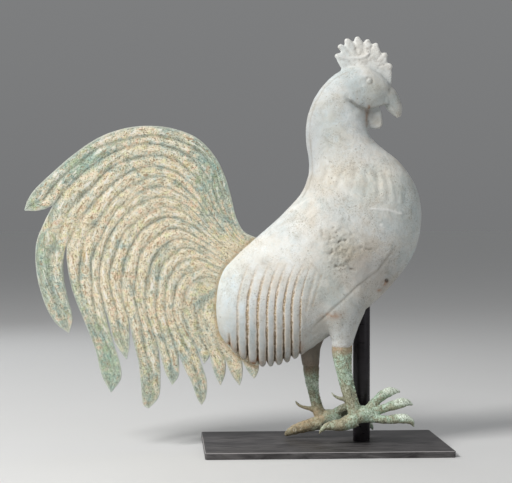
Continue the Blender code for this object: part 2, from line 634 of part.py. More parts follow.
def build_plate(parts):
    """The plate, with rounded corners and softly bevelled edges."""
    plate = new_block("base_plate", (PLATE_WIDTH, PLATE_DEPTH, PLATE_THICKNESS), (0, 0, PLATE_THICKNESS / 2), parts)
    built = bmesh.new()
    built.from_mesh(plate.data)
    upright = [edge for edge in built.edges if abs(edge.verts[0].co.z - edge.verts[1].co.z) > PLATE_THICKNESS / 2]
    bmesh.ops.bevel(built, geom=upright, offset=PLATE_CORNER_RADIUS, segments=3, profile=0.5, affect="EDGES")
    built.to_mesh(plate.data)
    built.free()
    edges = plate.modifiers.new("edges", "BEVEL")
    edges.width = PLATE_EDGE_BEVEL
    edges.segments = 2
    edges.limit_method = "ANGLE"
    edges.angle_limit = math.radians(60)
    dress(plate, "black_steel")
    return plate


def build_post(parts):
    """The post, from just above the plate to its end in the belly."""
    post = upright_cylinder("support_post", POST_DIAMETER, PLATE_THICKNESS + JOINT_GAP,
                            belly_height_at_post() + POST_DEPTH_IN_BODY, parts)
    dress(post, "black_steel")
    return post


def main():
    """Builds the whole object."""
    clear_scene()
    parts = new_collection("cockerel_weathervane")
    cutters = new_collection("cutters")
    build_body(parts, cutters)
    build_tail(parts)
    build_leg("right_leg", RIGHT_SHANK, RIGHT_FOOT, -1, parts, cutters)
    build_leg("left_leg", LEFT_SHANK, LEFT_FOOT, 1, parts, cutters)
    build_plate(parts)
    build_post(parts)


main()
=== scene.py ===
"""A weathered full-bodied cockerel weathervane on its black display stand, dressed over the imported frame.

The cockerel faces +X and is seen from its right side. Its carving is drawn in hundredths of the figure's
height above the plate, so a drawing point (x, z) becomes a point of the world through FIGURE_ORIGIN.
"""
from __future__ import annotations

import logging
import math
from dataclasses import dataclass, field
from enum import Enum, IntEnum
from typing import Callable, Sequence

import bmesh
import bpy
import numpy as np
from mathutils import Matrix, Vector, noise

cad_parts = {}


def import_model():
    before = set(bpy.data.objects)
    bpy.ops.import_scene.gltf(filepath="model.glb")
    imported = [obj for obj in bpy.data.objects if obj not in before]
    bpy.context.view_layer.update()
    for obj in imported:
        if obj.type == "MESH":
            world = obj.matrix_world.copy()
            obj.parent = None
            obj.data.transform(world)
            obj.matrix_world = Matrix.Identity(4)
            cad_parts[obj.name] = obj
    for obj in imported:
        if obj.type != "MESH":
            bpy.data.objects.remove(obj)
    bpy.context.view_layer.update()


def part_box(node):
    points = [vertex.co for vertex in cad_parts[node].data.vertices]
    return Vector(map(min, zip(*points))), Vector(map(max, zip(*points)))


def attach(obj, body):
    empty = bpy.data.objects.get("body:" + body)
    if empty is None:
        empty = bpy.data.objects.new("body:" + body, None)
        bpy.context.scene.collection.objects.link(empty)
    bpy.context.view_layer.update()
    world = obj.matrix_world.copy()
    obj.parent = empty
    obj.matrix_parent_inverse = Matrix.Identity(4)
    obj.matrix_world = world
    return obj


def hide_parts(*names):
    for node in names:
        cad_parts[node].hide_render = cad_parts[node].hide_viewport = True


LOG = logging.getLogger("cockerel")

FIGURE_HEIGHT = 0.635
UNIT = FIGURE_HEIGHT / 100
FIGURE_ORIGIN = np.array([0.06187, 0.0, 0.010])
VIEWPOINT = np.array([-0.2493, -2.06, 0.3581])
PIXELS_WIDE = 512
SENSOR_WIDTH = 36.0

Point = tuple[float, float]
Triple = Sequence[float]
Line = tuple[Point, ...]
Rows = tuple[tuple[float, ...], ...]
Colour = tuple[float, float, float]
Array = np.ndarray
Stops = tuple[tuple[float, Colour], ...]
Mesh = bpy.types.Mesh
Thing = bpy.types.Object
Material = bpy.types.Material
Socket = bpy.types.NodeSocket
Amount = Socket | float


class Slot(Enum):
    """The record's material slots."""

    ZINC = "zinc"
    SHEET_COPPER = "sheet_copper"
    VERDIGRIS = "verdigris"
    BLACK_STEEL = "black_steel"


class Blend(Enum):
    """The ways in which one colour is laid over another."""

    MIX = "MIX"
    MULTIPLY = "MULTIPLY"


class Side(IntEnum):
    """The cockerel's two sides, as the sign of Y."""

    RIGHT = -1
    LEFT = 1


class Stain(Enum):
    """The stains that the zinc carries, partly painted shade and painted highlights, each stored under its
    name for the finish to read.
    """

    DIRT = "dirt"
    GRIME = "grime"
    RUST = "rust"
    BARE = "bare"


def smoothstep(low: float, high: float, value: Array | float) -> Array:
    """A smooth run from 0 at low to 1 at high.

    Args:
        low: where the run starts.
        high: where the run ends.
        value: the values to be placed on the run.

    Returns:
        The shares from 0 to 1.
    """
    share = np.clip((np.asarray(value, float) - low) / (high - low), 0, 1)
    return share * share * (3 - 2 * share)


def placed(points: Array) -> Array:
    """Where points of the drawing (x, out, z) lie in the world, in metres."""
    return points * UNIT + FIGURE_ORIGIN


def drawn(points: Array) -> Array:
    """Where points of the world lie on the drawing, as rows of x, out and z."""
    return (points - FIGURE_ORIGIN) / UNIT


def hump(gap: Array, width: float) -> Array:
    """A smooth hump, 1 where the gap is 0 and next to nothing two widths away."""
    return np.exp(-(gap / width) ** 2)


def catmull(before: Array, start: Array, end: Array, after: Array, share: Array | float) -> Array:
    """The Catmull-Rom blend between two points.

    Args:
        before: the point ahead of the stretch.
        start: the stretch's first point.
        end: the stretch's last point.
        after: the point past the stretch.
        share: how far along the stretch, from 0 to 1.

    Returns:
        The blended point or points.
    """
    return 0.5 * (2 * start + (end - before) * share
                  + (2 * before - 5 * start + 4 * end - after) * share**2
                  + (3 * start - before - 3 * end + after) * share**3)


def with_ends(rows: Sequence[Sequence[float]]) -> Array:
    """A table with one more row past each end, so that a smooth curve can run through all its rows."""
    given = np.array(rows, float)
    return np.vstack([2 * given[0] - given[1], given, 2 * given[-1] - given[-2]])


def travelled(points: Array) -> Array:
    """How far each point of a line lies from its start, along the line."""
    return np.concatenate([[0], np.cumsum(np.linalg.norm(np.diff(points, axis=0), axis=1))])


def curve_through(points: Sequence[Sequence[float]], shares: Array) -> Array:
    """Points on a smooth curve through the given ones.

    Args:
        points: rows of numbers, of which any number of columns are carried along.
        shares: shares of the curve's length.

    Returns:
        One row for each share.
    """
    padded = with_ends(points)
    steps = np.linspace(0, 1, 16, endpoint=False)[:, None]
    runs = [catmull(*rows, steps) for rows in zip(padded, padded[1:], padded[2:], padded[3:])]
    dense = np.vstack([*runs, padded[-2:-1]])
    reached = travelled(dense)
    wanted = reached[-1] * np.asarray(shares)
    return np.column_stack([np.interp(wanted, reached, column) for column in dense.T])


def loft_rows(table: Sequence[Sequence[float]], count: int) -> Array:
    """A table's rows blended smoothly into more of them, at even steps.

    Args:
        table: the given rows.
        count: how many rows are wanted.

    Returns:
        The blended rows, the first and the last as given.
    """
    padded = with_ends(table)
    found = []
    for place in np.linspace(0, len(table) - 1, count):
        first = min(int(place), len(table) - 2)
        found.append(catmull(*padded[first:first + 4], place - first))
    return np.array(found)


def distance_to_line(x: Array, z: Array, line: Sequence[Point], closed: bool = False) -> tuple[Array, ...]:
    """How far points lie from a line of straight stretches.

    Args:
        x: the points' first coordinates.
        z: the points' second coordinates.
        line: the line's corners.
        closed: whether the last corner joins the first.

    Returns:
        The distances, the side of the line (above 0 on its left), and the share along the line.
    """
    corners = np.array(line, float)
    if closed:
        corners = np.vstack([corners, corners[:1]])
    best = np.full(len(x), 1e9)
    side = np.zeros(len(x))
    along = np.zeros(len(x))
    lengths = np.linalg.norm(np.diff(corners, axis=0), axis=1)
    walked = travelled(corners)
    for number, (start, end) in enumerate(zip(corners, corners[1:])):
        span = end - start
        share = np.clip(((x - start[0]) * span[0] + (z - start[1]) * span[1]) / (span @ span), 0, 1)
        gap_x = x - start[0] - share * span[0]
        gap_z = z - start[1] - share * span[1]
        gap = np.hypot(gap_x, gap_z)
        nearer = gap < best
        best = np.where(nearer, gap, best)
        side = np.where(nearer, np.sign(span[0] * gap_z - span[1] * gap_x), side)
        along = np.where(nearer, (walked[number] + share * lengths[number]) / walked[-1], along)
    return best, side, along


def cloud(points: Array, size: float, octaves: int = 3, seed: float = 0.0) -> Array:
    """A cloudy field about 0.

    Args:
        points: points in metres.
        size: the size of the largest clouds in metres.
        octaves: how many finer layers are added.
        seed: a shift that gives another field.

    Returns:
        One value for each point, between about -1 and 1.
    """
    scaled = points / size + seed
    return np.array([noise.fractal(Vector(point), 0.7, 2.1, octaves) for point in scaled])


def mesh_from_rings(name: str, rings: Sequence[Array]) -> Mesh:
    """A closed mesh through rings of equal length, capped at both ends.

    Args:
        name: the mesh's name.
        rings: rows of points, one ring after another.

    Returns:
        The mesh, its faces pointing out.
    """
    count = len(rings[0])
    points = [tuple(point) for ring in rings for point in ring]
    faces = []
    for ring in range(len(rings) - 1):
        for side in range(count):
            after = (side + 1) % count
            first, second = ring * count, (ring + 1) * count
            faces.append((first + side, first + after, second + after, second + side))
    faces.append(tuple(range(count)))
    faces.append(tuple(range(len(points) - count, len(points))))
    made = bpy.data.meshes.new(name)
    made.from_pydata(points, [], faces)
    tidy_faces(made)
    return made


def tidy_faces(mesh: Mesh, merge: float = 0.0) -> None:
    """Merges a mesh's doubles and turns its faces outwards.

    Args:
        mesh: the mesh to mend.
        merge: how near doubles lie to each other in metres, or 0 to leave them.
    """
    built = bmesh.new()
    built.from_mesh(mesh)
    if merge > 0:
        bmesh.ops.remove_doubles(built, verts=built.verts, dist=merge)
    bmesh.ops.recalc_face_normals(built, faces=built.faces)
    built.to_mesh(mesh)
    built.free()


def baked(name: str, built: bmesh.types.BMesh) -> Mesh:
    """A mesh of what has been built.

    Args:
        name: the mesh's name.
        built: the faces, which are freed.

    Returns:
        The mesh.
    """
    made = bpy.data.meshes.new(name)
    built.to_mesh(made)
    built.free()
    return made


def joined(name: str, meshes: Sequence[Mesh]) -> Mesh:
    """One mesh that holds the faces of several.

    Args:
        name: the new mesh's name.
        meshes: the meshes, which are removed.

    Returns:
        The joined mesh.
    """
    built = bmesh.new()
    for mesh in meshes:
        built.from_mesh(mesh)
        bpy.data.meshes.remove(mesh)
    return baked(name, built)


def link(name: str, data: bpy.types.ID) -> Thing:
    """An object for a mesh, curve, light or camera, at the world's origin.

    Args:
        name: the object's name.
        data: what it shows.

    Returns:
        The object, linked to the scene.
    """
    made = bpy.data.objects.new(name, data)
    bpy.context.scene.collection.objects.link(made)
    return made


def evaluated(target: Thing) -> Mesh:
    """A new plain mesh of what an object's curve or modifiers make.

    Args:
        target: the object.

    Returns:
        The new mesh.
    """
    bpy.context.view_layer.update()
    graph = bpy.context.evaluated_depsgraph_get()
    return bpy.data.meshes.new_from_object(target.evaluated_get(graph))


def settled(target: Thing) -> Mesh:
    """A plain mesh of what an object's modifiers make.

    Args:
        target: the object, whose modifiers are removed.

    Returns:
        The new mesh, which the object now holds.
    """
    made = evaluated(target)
    target.modifiers.clear()
    target.data = made
    return made


def remeshed(name: str, mesh: Mesh, voxel: float, rounds: int) -> Thing:
    """One even skin over overlapping closed forms, softened where they meet.

    Args:
        name: the object's name.
        mesh: the overlapping forms.
        voxel: the skin's face size in metres.
        rounds: how many times the skin is smoothed.

    Returns:
        The object with its new mesh.
    """
    made = link(name, mesh)
    skin = made.modifiers.new("skin", "REMESH")
    skin.mode = "VOXEL"
    skin.voxel_size = voxel
    soften = made.modifiers.new("soften", "SMOOTH")
    soften.factor = 0.5
    soften.iterations = rounds
    settled(made)
    return made


def vertex_rows(mesh: Mesh, kind: str) -> Array:
    """What a mesh holds for its vertices.

    Args:
        mesh: the mesh.
        kind: "co" for the positions and "normal" for the normals.

    Returns:
        One row of three numbers for each vertex.
    """
    flat = np.empty(len(mesh.vertices) * 3)
    mesh.vertices.foreach_get(kind, flat)
    return flat.reshape(-1, 3)


def positions(mesh: Mesh) -> Array:
    """The vertices' positions, one row each."""
    return vertex_rows(mesh, "co")


def normals(mesh: Mesh) -> Array:
    """The vertices' normals, one row each."""
    return vertex_rows(mesh, "normal")


def set_positions(mesh: Mesh, points: Array) -> None:
    """Moves a mesh's vertices to new positions."""
    mesh.vertices.foreach_set("co", points.astype(np.float32).ravel())
    mesh.update()


def mark(mesh: Mesh, name: str, values: Array) -> None:
    """Stores one number for each vertex, for the finishes to read.

    Args:
        mesh: the mesh.
        name: the attribute's name.
        values: one number for each vertex.
    """
    held = mesh.attributes.new(name, "FLOAT", "POINT")
    held.data.foreach_set("value", np.asarray(values, np.float32))


def tint(mesh: Mesh, name: str, values: Array) -> None:
    """Stores one colour for each vertex, for the finishes to read.

    Args:
        mesh: the mesh.
        name: the attribute's name.
        values: rows of red, green and blue.
    """
    held = mesh.attributes.new(name, "FLOAT_COLOR", "POINT")
    full = np.column_stack([values, np.ones(len(values))])
    held.data.foreach_set("color", full.astype(np.float32).ravel())


class NodeBench:
    """A node tree under construction."""

    def __init__(self, tree: bpy.types.NodeTree) -> None:
        """Holds the tree that the nodes go in."""
        self.tree = tree

    def add(self, kind: str, inputs: dict[str | int, object], **options: object) -> bpy.types.Node:
        """Adds a node.

        Args:
            kind: the node's type.
            inputs: a socket to link or a value to set, under each input's name or number.
            options: the node's own settings.

        Returns:
            The node.
        """
        node = self.tree.nodes.new(kind)
        for name, choice in options.items():
            setattr(node, name, choice)
        for name, value in inputs.items():
            if isinstance(value, Socket):
                self.tree.links.new(value, node.inputs[name])
            else:
                node.inputs[name].default_value = value
        return node

    def combine(self, operation: str, first: Socket, second: Amount) -> Socket:
        """Two numbers put together by one of the Math node's operations."""
        return self.add("ShaderNodeMath", {0: first, 1: second}, operation=operation).outputs[0]

    def times(self, first: Socket, second: Amount) -> Socket:
        """One number times another."""
        return self.combine("MULTIPLY", first, second)

    def plus(self, first: Socket, second: Amount) -> Socket:
        """One number plus another."""
        return self.combine("ADD", first, second)

    def spread(self, value: Socket, low: float, high: float, start: float = 0.0, end: float = 1.0) -> Socket:
        """A value's run from low to high, laid on start to end and held there.

        Args:
            value: the value.
            low: where its run begins.
            high: where its run ends.
            start: what low becomes.
            end: what high becomes.

        Returns:
            The new value.
        """
        node = self.add("ShaderNodeMapRange", {
            "Value": value, "From Min": low, "From Max": high, "To Min": start, "To Max": end})
        return node.outputs["Result"]


class ShapeTree(NodeBench):
    """A Geometry Nodes tree under construction, with a named input for each of its sizes."""

    def __init__(self, name: str, sizes: Sequence[str]) -> None:
        """Starts the tree.

        Args:
            name: the tree's name.
            sizes: the names of its inputs for numbers.
        """
        super().__init__(bpy.data.node_groups.new(name, "GeometryNodeTree"))
        kinds = {"Geometry": "NodeSocketGeometry", **dict.fromkeys(sizes, "NodeSocketFloat"),
                 "Material": "NodeSocketMaterial"}
        for socket, kind in kinds.items():
            self.tree.interface.new_socket(socket, in_out="INPUT", socket_type=kind)
        self.tree.interface.new_socket("Geometry", in_out="OUTPUT", socket_type="NodeSocketGeometry")
        self.given = self.add("NodeGroupInput", {}).outputs

    def carried(self, name: str) -> Socket:
        """A number that the mesh carries."""
        node = self.add("GeometryNodeInputNamedAttribute", {"Name": name}, data_type="FLOAT")
        return node.outputs["Attribute"]

    def finish(self, shape: Socket) -> bpy.types.NodeTree:
        """Makes the shape real, gives it its material and closes the tree.

        Args:
            shape: what the tree has made.

        Returns:
            The finished tree.
        """
        real = self.add("GeometryNodeRealizeInstances", {"Geometry": shape})
        dressed = self.add("GeometryNodeSetMaterial", {
            "Geometry": real.outputs["Geometry"], "Material": self.given["Material"]})
        self.add("NodeGroupOutput", {"Geometry": dressed.outputs["Geometry"]})
        return self.tree


def set_inputs(modifier: bpy.types.Modifier, values: dict[str, object]) -> None:
    """Sets a node modifier's inputs by their sockets' identifiers.

    Args:
        modifier: the modifier that holds the tree.
        values: the wanted value under each input's name.
    """
    for item in modifier.node_group.interface.items_tree:
        if item.item_type == "SOCKET" and item.in_out == "INPUT" and item.name in values:
            modifier[item.identifier] = values[item.name]


class Paint(NodeBench):
    """A Principled material under construction, with short ways to lay its layers."""

    def __init__(self, name: str, roughness: float, specular: float) -> None:
        """Starts the material.

        Args:
            name: the material's name.
            roughness: the shader's roughness where nothing drives it.
            specular: the shader's specular level.
        """
        self.material = bpy.data.materials.new(name)
        self.material.use_nodes = True
        super().__init__(self.material.node_tree)
        self.shader = self.tree.nodes["Principled BSDF"].inputs
        self.shader["Roughness"].default_value = roughness
        self.shader["Specular IOR Level"].default_value = specular
        self.place = self.add("ShaderNodeTexCoord", {}).outputs["Object"]
        self.colour = self.place

    def stretched(self, scale: Triple) -> Socket:
        """Object coordinates with their own scale on each axis."""
        return self.add("ShaderNodeMapping", {"Vector": self.place, "Scale": scale}).outputs["Vector"]

    def noise(self, scale: float, detail: float = 4, rough: float = 0.6, warp: float = 0.0,
              source: Socket | None = None) -> Socket:
        """A noise texture's value.

        Args:
            scale: how many of its clouds lie in a metre.
            detail: how many finer layers it has.
            rough: how strong the finer layers are.
            warp: how far the clouds are distorted.
            source: where it is read, if not at Object coordinates.

        Returns:
            The value, mostly between 0.3 and 0.7.
        """
        node = self.add("ShaderNodeTexNoise", {
            "Vector": source or self.place, "Scale": scale, "Detail": detail, "Roughness": rough,
            "Distortion": warp})
        return node.outputs["Fac"]

    def cells(self, scale: float) -> Socket:
        """The distance to the nearest of scattered points."""
        return self.add("ShaderNodeTexVoronoi", {"Vector": self.place, "Scale": scale}).outputs["Distance"]

    def carried(self, name: str, kind: str = "Fac") -> Socket:
        """A number ("Fac") or a colour ("Color") that the mesh carries."""
        return self.add("ShaderNodeAttribute", {}, attribute_name=name).outputs[kind]

    def laid_out(self, lengthwise: float, crosswise: float) -> Socket:
        """A place on a ribbed sheet, from the numbers along and across that its mesh carries.

        Args:
            lengthwise: the scale along the ribs.
            crosswise: the scale across them.

        Returns:
            The place as a vector.
        """
        along = self.times(self.carried("along"), lengthwise)
        across = self.times(self.carried("across"), crosswise)
        return self.add("ShaderNodeCombineXYZ", {"X": along, "Y": across}).outputs["Vector"]

    def ramp(self, value: Socket, stops: Sequence[tuple[float, Colour]]) -> Socket:
        """A colour for each value.

        Args:
            value: the value.
            stops: places from 0 to 1 with their colours.

        Returns:
            The colour.
        """
        node = self.add("ShaderNodeValToRGB", {"Fac": value})
        held = node.color_ramp.elements
        while len(held) < len(stops):
            held.new(0.5)
        for element, (position, colour) in zip(held, stops):
            element.position = position
            element.color = (*colour, 1)
        return node.outputs["Color"]

    def lay(self, over: Socket | Colour, amount: Amount, way: Blend = Blend.MIX) -> None:
        """Lays a colour over what the material has so far.

        Args:
            over: the colour on top.
            amount: how much of it there is, from 0 to 1.
            way: how the two are blended.
        """
        top = (*over, 1) if isinstance(over, tuple) else over
        node = self.add("ShaderNodeMix", {"Factor": amount, 6: self.colour, 7: top}, data_type="RGBA",
                        blend_type=way.value)
        self.colour = node.outputs[2]

    def finish(self, rough: Socket | None, relief: Sequence[tuple[Socket, float]]) -> Material:
        """Joins the layers to the shader.

        Args:
            rough: the roughness, or nothing to keep the even one.
            relief: height fields with their depths in metres.

        Returns:
            The finished material.
        """
        self.tree.links.new(self.colour, self.shader["Base Color"])
        if rough is not None:
            self.tree.links.new(rough, self.shader["Roughness"])
        normal: dict[str, Socket] = {}
        for height, depth in relief:
            sizes = {"Height": height, "Distance": abs(depth), "Strength": 1.0}
            bump = self.add("ShaderNodeBump", {**sizes, **normal}, invert=depth < 0)
            normal = {"Normal": bump.outputs["Normal"]}
        if normal:
            self.tree.links.new(normal["Normal"], self.shader["Normal"])
        return self.material


@dataclass(frozen=True)
class WeatheredZinc:
    """Pale matt cast zinc, chalky on top, with dirt in its grooves and rust where iron lay against it, and
    painted light and shade: shading washes, shade in creases and dents, highlights on ridges.
    """

    chalk: Colour = (0.74, 0.745, 0.72)
    cool: Colour = (0.62, 0.67, 0.67)
    warm: Colour = (0.71, 0.675, 0.605)
    stain: Colour = (0.43, 0.395, 0.335)
    bloom: Colour = (0.84, 0.855, 0.845)
    speckle: Colour = (0.58, 0.54, 0.48)
    clean: Colour = (0.97, 0.97, 0.97)
    pit_dirt: Colour = (0.27, 0.22, 0.16)
    groove_brown: Colour = (0.16, 0.10, 0.055)
    groove_gold: Colour = (0.52, 0.38, 0.21)
    groove_shadow: Colour = (0.13, 0.095, 0.06)
    thin_grime_and_shade: Colour = (0.36, 0.325, 0.27)
    grime: Colour = (0.20, 0.17, 0.13)
    soot_and_shade: Colour = (0.02, 0.017, 0.015)
    rust: Colour = (0.36, 0.15, 0.045)
    bare: Colour = (0.90, 0.90, 0.87)
    lip: Colour = (0.80, 0.71, 0.61)

    def make(self) -> Material:
        """Builds the material.

        Returns:
            The material.
        """
        paint = Paint("weathered_zinc", roughness=0.68, specular=0.35)
        patch = paint.noise(38, 6, 0.68, 0.7)
        middle = paint.noise(95, 6, 0.68, 0.3)
        grain = paint.noise(430, 5, 0.72)
        pits = paint.times(paint.spread(paint.cells(170), 0.08, 0.20, 1, 0),
                           paint.spread(paint.noise(34, 3), 0.50, 0.62))
        self.mottle(paint, patch, middle, grain)
        paint.lay(self.pit_dirt, paint.times(pits, 0.75))
        cut = self.groove(paint)
        self.soil(paint)
        rough = paint.spread(middle, 0.3, 0.7, 0.80, 0.58)
        relief = [(patch, 0.0014), (middle, 0.0010), (grain, 0.00045), (pits, -0.0006), (cut, -0.0009)]
        return paint.finish(rough, relief)

    def mottle(self, paint: Paint, patch: Socket, middle: Socket, grain: Socket) -> None:
        """Lays the zinc's own colours, and the painted light and shade of the shading washes.

        Args:
            paint: the material.
            patch: its large clouds.
            middle: its middling clouds.
            grain: its fine grain.
        """
        broad = paint.noise(11, 4, 0.55, 0.5)
        paint.colour = paint.ramp(broad, [(0.38, self.cool), (0.50, self.chalk), (0.63, self.warm)])
        paint.lay(self.stain, paint.spread(patch, 0.52, 0.74, 0, 0.60))
        paint.lay(self.bloom, paint.spread(patch, 0.48, 0.32, 0, 0.75))
        paint.lay(self.warm, paint.spread(middle, 0.52, 0.68, 0, 0.50))
        paint.lay(self.cool, paint.spread(middle, 0.47, 0.34, 0, 0.45))
        # Painted light and shade: the shading washes multiply the colour, with some of the metal's own tone.
        paint.lay(paint.carried("shading_and_tone", "Color"), 1.0, Blend.MULTIPLY)
        specks = paint.ramp(grain, [(0.36, self.speckle), (0.49, self.clean), (0.62, (1.0, 1.0, 1.0))])
        gathered = paint.spread(paint.noise(26, 4, 0.6, 0.6), 0.44, 0.62, 0.12, 0.95)
        paint.lay(specks, gathered, Blend.MULTIPLY)

    def groove(self, paint: Paint) -> Socket:
        """Lays the earth in the grooves, the flutes' pale lips, partly a painted highlight, and the dark cuts
        with painted shadow in their lower parts.

        Args:
            paint: the material.

        Returns:
            How deep the flutes' cuts are.
        """
        fine = paint.noise(300, 4, 0.7)
        broken = paint.spread(paint.noise(150, 5, 0.72), 0.36, 0.56)
        earth = paint.ramp(fine, [(0.40, self.groove_brown), (0.58, self.groove_gold)])
        paint.lay(earth, paint.times(paint.carried("dirt"), broken))
        wander = paint.spread(paint.noise(120, 3), 0.3, 0.7, -0.06, 0.06)
        groove = paint.plus(paint.combine("PINGPONG", paint.carried("flute"), 0.5), wander)
        fluted = paint.carried("fluted")
        # Pale lips along the grooves: partly worn pale metal, partly a painted highlight.
        lip = paint.times(paint.spread(groove, 0.30, 0.20), fluted)
        paint.lay(self.lip, paint.times(lip, 0.45))
        cut = paint.times(paint.spread(groove, 0.165, 0.065), fluted)
        beads = paint.ramp(fine, [(0.38, self.groove_brown), (0.50, self.groove_gold), (0.58, self.lip)])
        paint.lay(beads, paint.times(cut, paint.spread(fine, 0.34, 0.46, 0.55, 1.0)))
        shadow = paint.times(paint.spread(groove, 0.115, 0.045), fluted)
        paint.lay(self.groove_shadow, paint.times(shadow, paint.carried("low")))
        return cut

    def soil(self, paint: Paint) -> None:
        """Lays the grime with painted shade in creases and dents, the rust, and the bare spots with painted
        highlights on ridges, that the mesh marks.

        Args:
            paint: the material.
        """
        # Painted shade in creases, dents, gaps, the hole and under the jaw, with real grime and grit; darkest
        # in the hole.
        grime = paint.carried("grime")
        soot_and_shade = paint.ramp(grime, [(0.2, self.thin_grime_and_shade), (0.6, self.grime), (1.0, self.soot_and_shade)])
        thin = paint.spread(paint.noise(240, 4, 0.7), 0.36, 0.56, 0.45, 1.0)
        paint.lay(soot_and_shade, paint.times(paint.spread(grime, 0.0, 0.75), thin))
        rusty = paint.times(paint.carried("rust"), paint.spread(paint.noise(110, 4, 0.7), 0.34, 0.56))
        paint.lay(self.rust, rusty)
        # Bare spots, and painted highlights on the hackle's edge, the collar and the brow.
        paint.lay(self.bare, paint.carried("bare"))


@dataclass(frozen=True)
class GildedCopper:
    """Sheet copper with flaking gilding on the ribs and grey-green verdigris in the hollows, painted shade in
    the hollows and painted glints on the ribs.
    """

    gold_stops: Stops = (
        (0.40, (0.17, 0.13, 0.08)), (0.435, (0.56, 0.46, 0.30)), (0.47, (0.90, 0.76, 0.49)),
        (0.54, (1.0, 0.94, 0.78)))
    green_stops: Stops = (
        (0.41, (0.14, 0.16, 0.125)), (0.45, (0.31, 0.345, 0.28)), (0.50, (0.43, 0.50, 0.40)),
        (0.56, (0.70, 0.77, 0.65)))
    jade_stops: Stops = (
        (0.41, (0.20, 0.27, 0.20)), (0.49, (0.45, 0.60, 0.44)), (0.58, (0.66, 0.80, 0.62)))
    shade_stops: Stops = (
        (0.36, (0.76, 0.77, 0.74)), (0.48, (0.97, 0.97, 0.96)), (0.62, (1.0, 1.0, 1.0)))
    rosy: Colour = (1.0, 0.86, 0.83)
    bluish: Colour = (0.76, 0.90, 1.0)
    mossy: Colour = (0.95, 0.99, 0.84)
    rusty: Colour = (0.44, 0.28, 0.15)
    glint: Colour = (1.0, 0.97, 0.89)
    hollow_shade: Colour = (0.20, 0.18, 0.125)
    rust: Colour = (0.42, 0.27, 0.13)
    rim: Colour = (0.74, 0.78, 0.70)

    def make(self) -> Material:
        """Builds the material.

        Returns:
            The material.
        """
        paint = Paint("gilded_copper", roughness=0.62, specular=0.4)
        flakes = self.flakes(paint)
        broad = paint.noise(17, 5, 0.66, 1.0)
        bands = paint.noise(1.0, 4, 0.62, 0.6, paint.laid_out(34.0, 1.1))
        hue = paint.noise(90, 4, 0.7, 0.6)
        rib = paint.carried("rib")
        coolness = paint.spread(broad, 0.44, 0.60, -0.08, 0.36)
        coolness = paint.plus(coolness, paint.spread(bands, 0.42, 0.62, 0, 0.34))
        coolness = paint.plus(coolness, paint.spread(rib, 0.55, -0.8, -0.10, 0.36))
        coolness = paint.plus(coolness, paint.carried("green"))
        coolness = paint.plus(coolness, paint.spread(hue, 0.40, 0.60, -0.14, 0.30))
        green = paint.ramp(flakes, self.green_stops)
        paint.colour = paint.ramp(flakes, self.gold_stops)
        paint.lay(green, paint.spread(coolness, 0.24, 0.98))
        jade = paint.times(paint.carried("jade"), paint.spread(hue, 0.36, 0.54))
        paint.lay(paint.ramp(flakes, self.jade_stops), jade)
        rosy = paint.times(paint.spread(hue, 0.47, 0.38), paint.spread(broad, 0.55, 0.45))
        paint.lay(self.rosy, rosy, Blend.MULTIPLY)
        tinge = paint.noise(58, 3, 0.62, 0.9)
        blue = paint.times(paint.spread(tinge, 0.50, 0.62), paint.spread(coolness, 0.15, 0.75, 0.15, 1.0))
        paint.lay(self.bluish, blue, Blend.MULTIPLY)
        paint.lay(self.mossy, paint.spread(tinge, 0.46, 0.36), Blend.MULTIPLY)
        self.streak(paint, rib, bands)
        rough = paint.spread(flakes, 0.35, 0.7, 0.75, 0.48)
        return paint.finish(rough, [(flakes, 0.0022), (bands, 0.0008)])

    def flakes(self, paint: Paint) -> Socket:
        """The granular pattern of the flaking gilding, drawn out a little along the ribs.

        Args:
            paint: the material.

        Returns:
            The pattern's height.
        """
        strands = paint.noise(1.0, 2, 0.60, 0.3, paint.laid_out(210.0, 5.4))
        beads = paint.times(paint.noise(700, 2, 0.60, 0.3), 0.56)
        clumps = paint.times(paint.noise(300, 3, 0.65, 0.7), 0.30)
        return paint.plus(paint.plus(beads, clumps), paint.times(strands, 0.14))

    def streak(self, paint: Paint, rib: Socket, bands: Socket) -> None:
        """Lays the streaks along the ribs with painted glints on their crests, the painted shade between
        them, and the sheet's rust with a painted shadow line along the body and its pale rim with a painted
        edge highlight.

        Args:
            paint: the material.
            rib: how high the sheet stands, from -1 to 1.
            bands: the bands across the feathers.
        """
        streaks = paint.noise(1.0, 3, 0.62, 0.5, paint.laid_out(64.0, 3.6))
        ridge = paint.spread(rib, -0.3, 0.7, 0.30, 0.85)
        paint.lay(self.rusty, paint.times(paint.spread(streaks, 0.57, 0.66), ridge))
        # Painted glints along the ribs, strongest on their crests.
        paint.lay(self.glint, paint.times(paint.spread(streaks, 0.44, 0.36), ridge))
        shade = paint.ramp(paint.noise(1.0, 3, 0.6, 0.3, paint.laid_out(42.0, 2.2)), self.shade_stops)
        paint.lay(shade, 0.9, Blend.MULTIPLY)
        # Painted shade in the rib hollows.
        hollow_shade = paint.times(paint.spread(rib, 0.25, -0.85), paint.spread(bands, 0.38, 0.58, 0.26, 0.66))
        paint.lay(self.hollow_shade, hollow_shade)
        # Rust, with a painted shadow line along the body's edge.
        paint.lay(self.rust, paint.carried("rust"))
        # Pale rim: partly the rolled edge's paler metal, partly a painted edge highlight.
        paint.lay(self.rim, paint.times(paint.carried("rim"), 0.55))


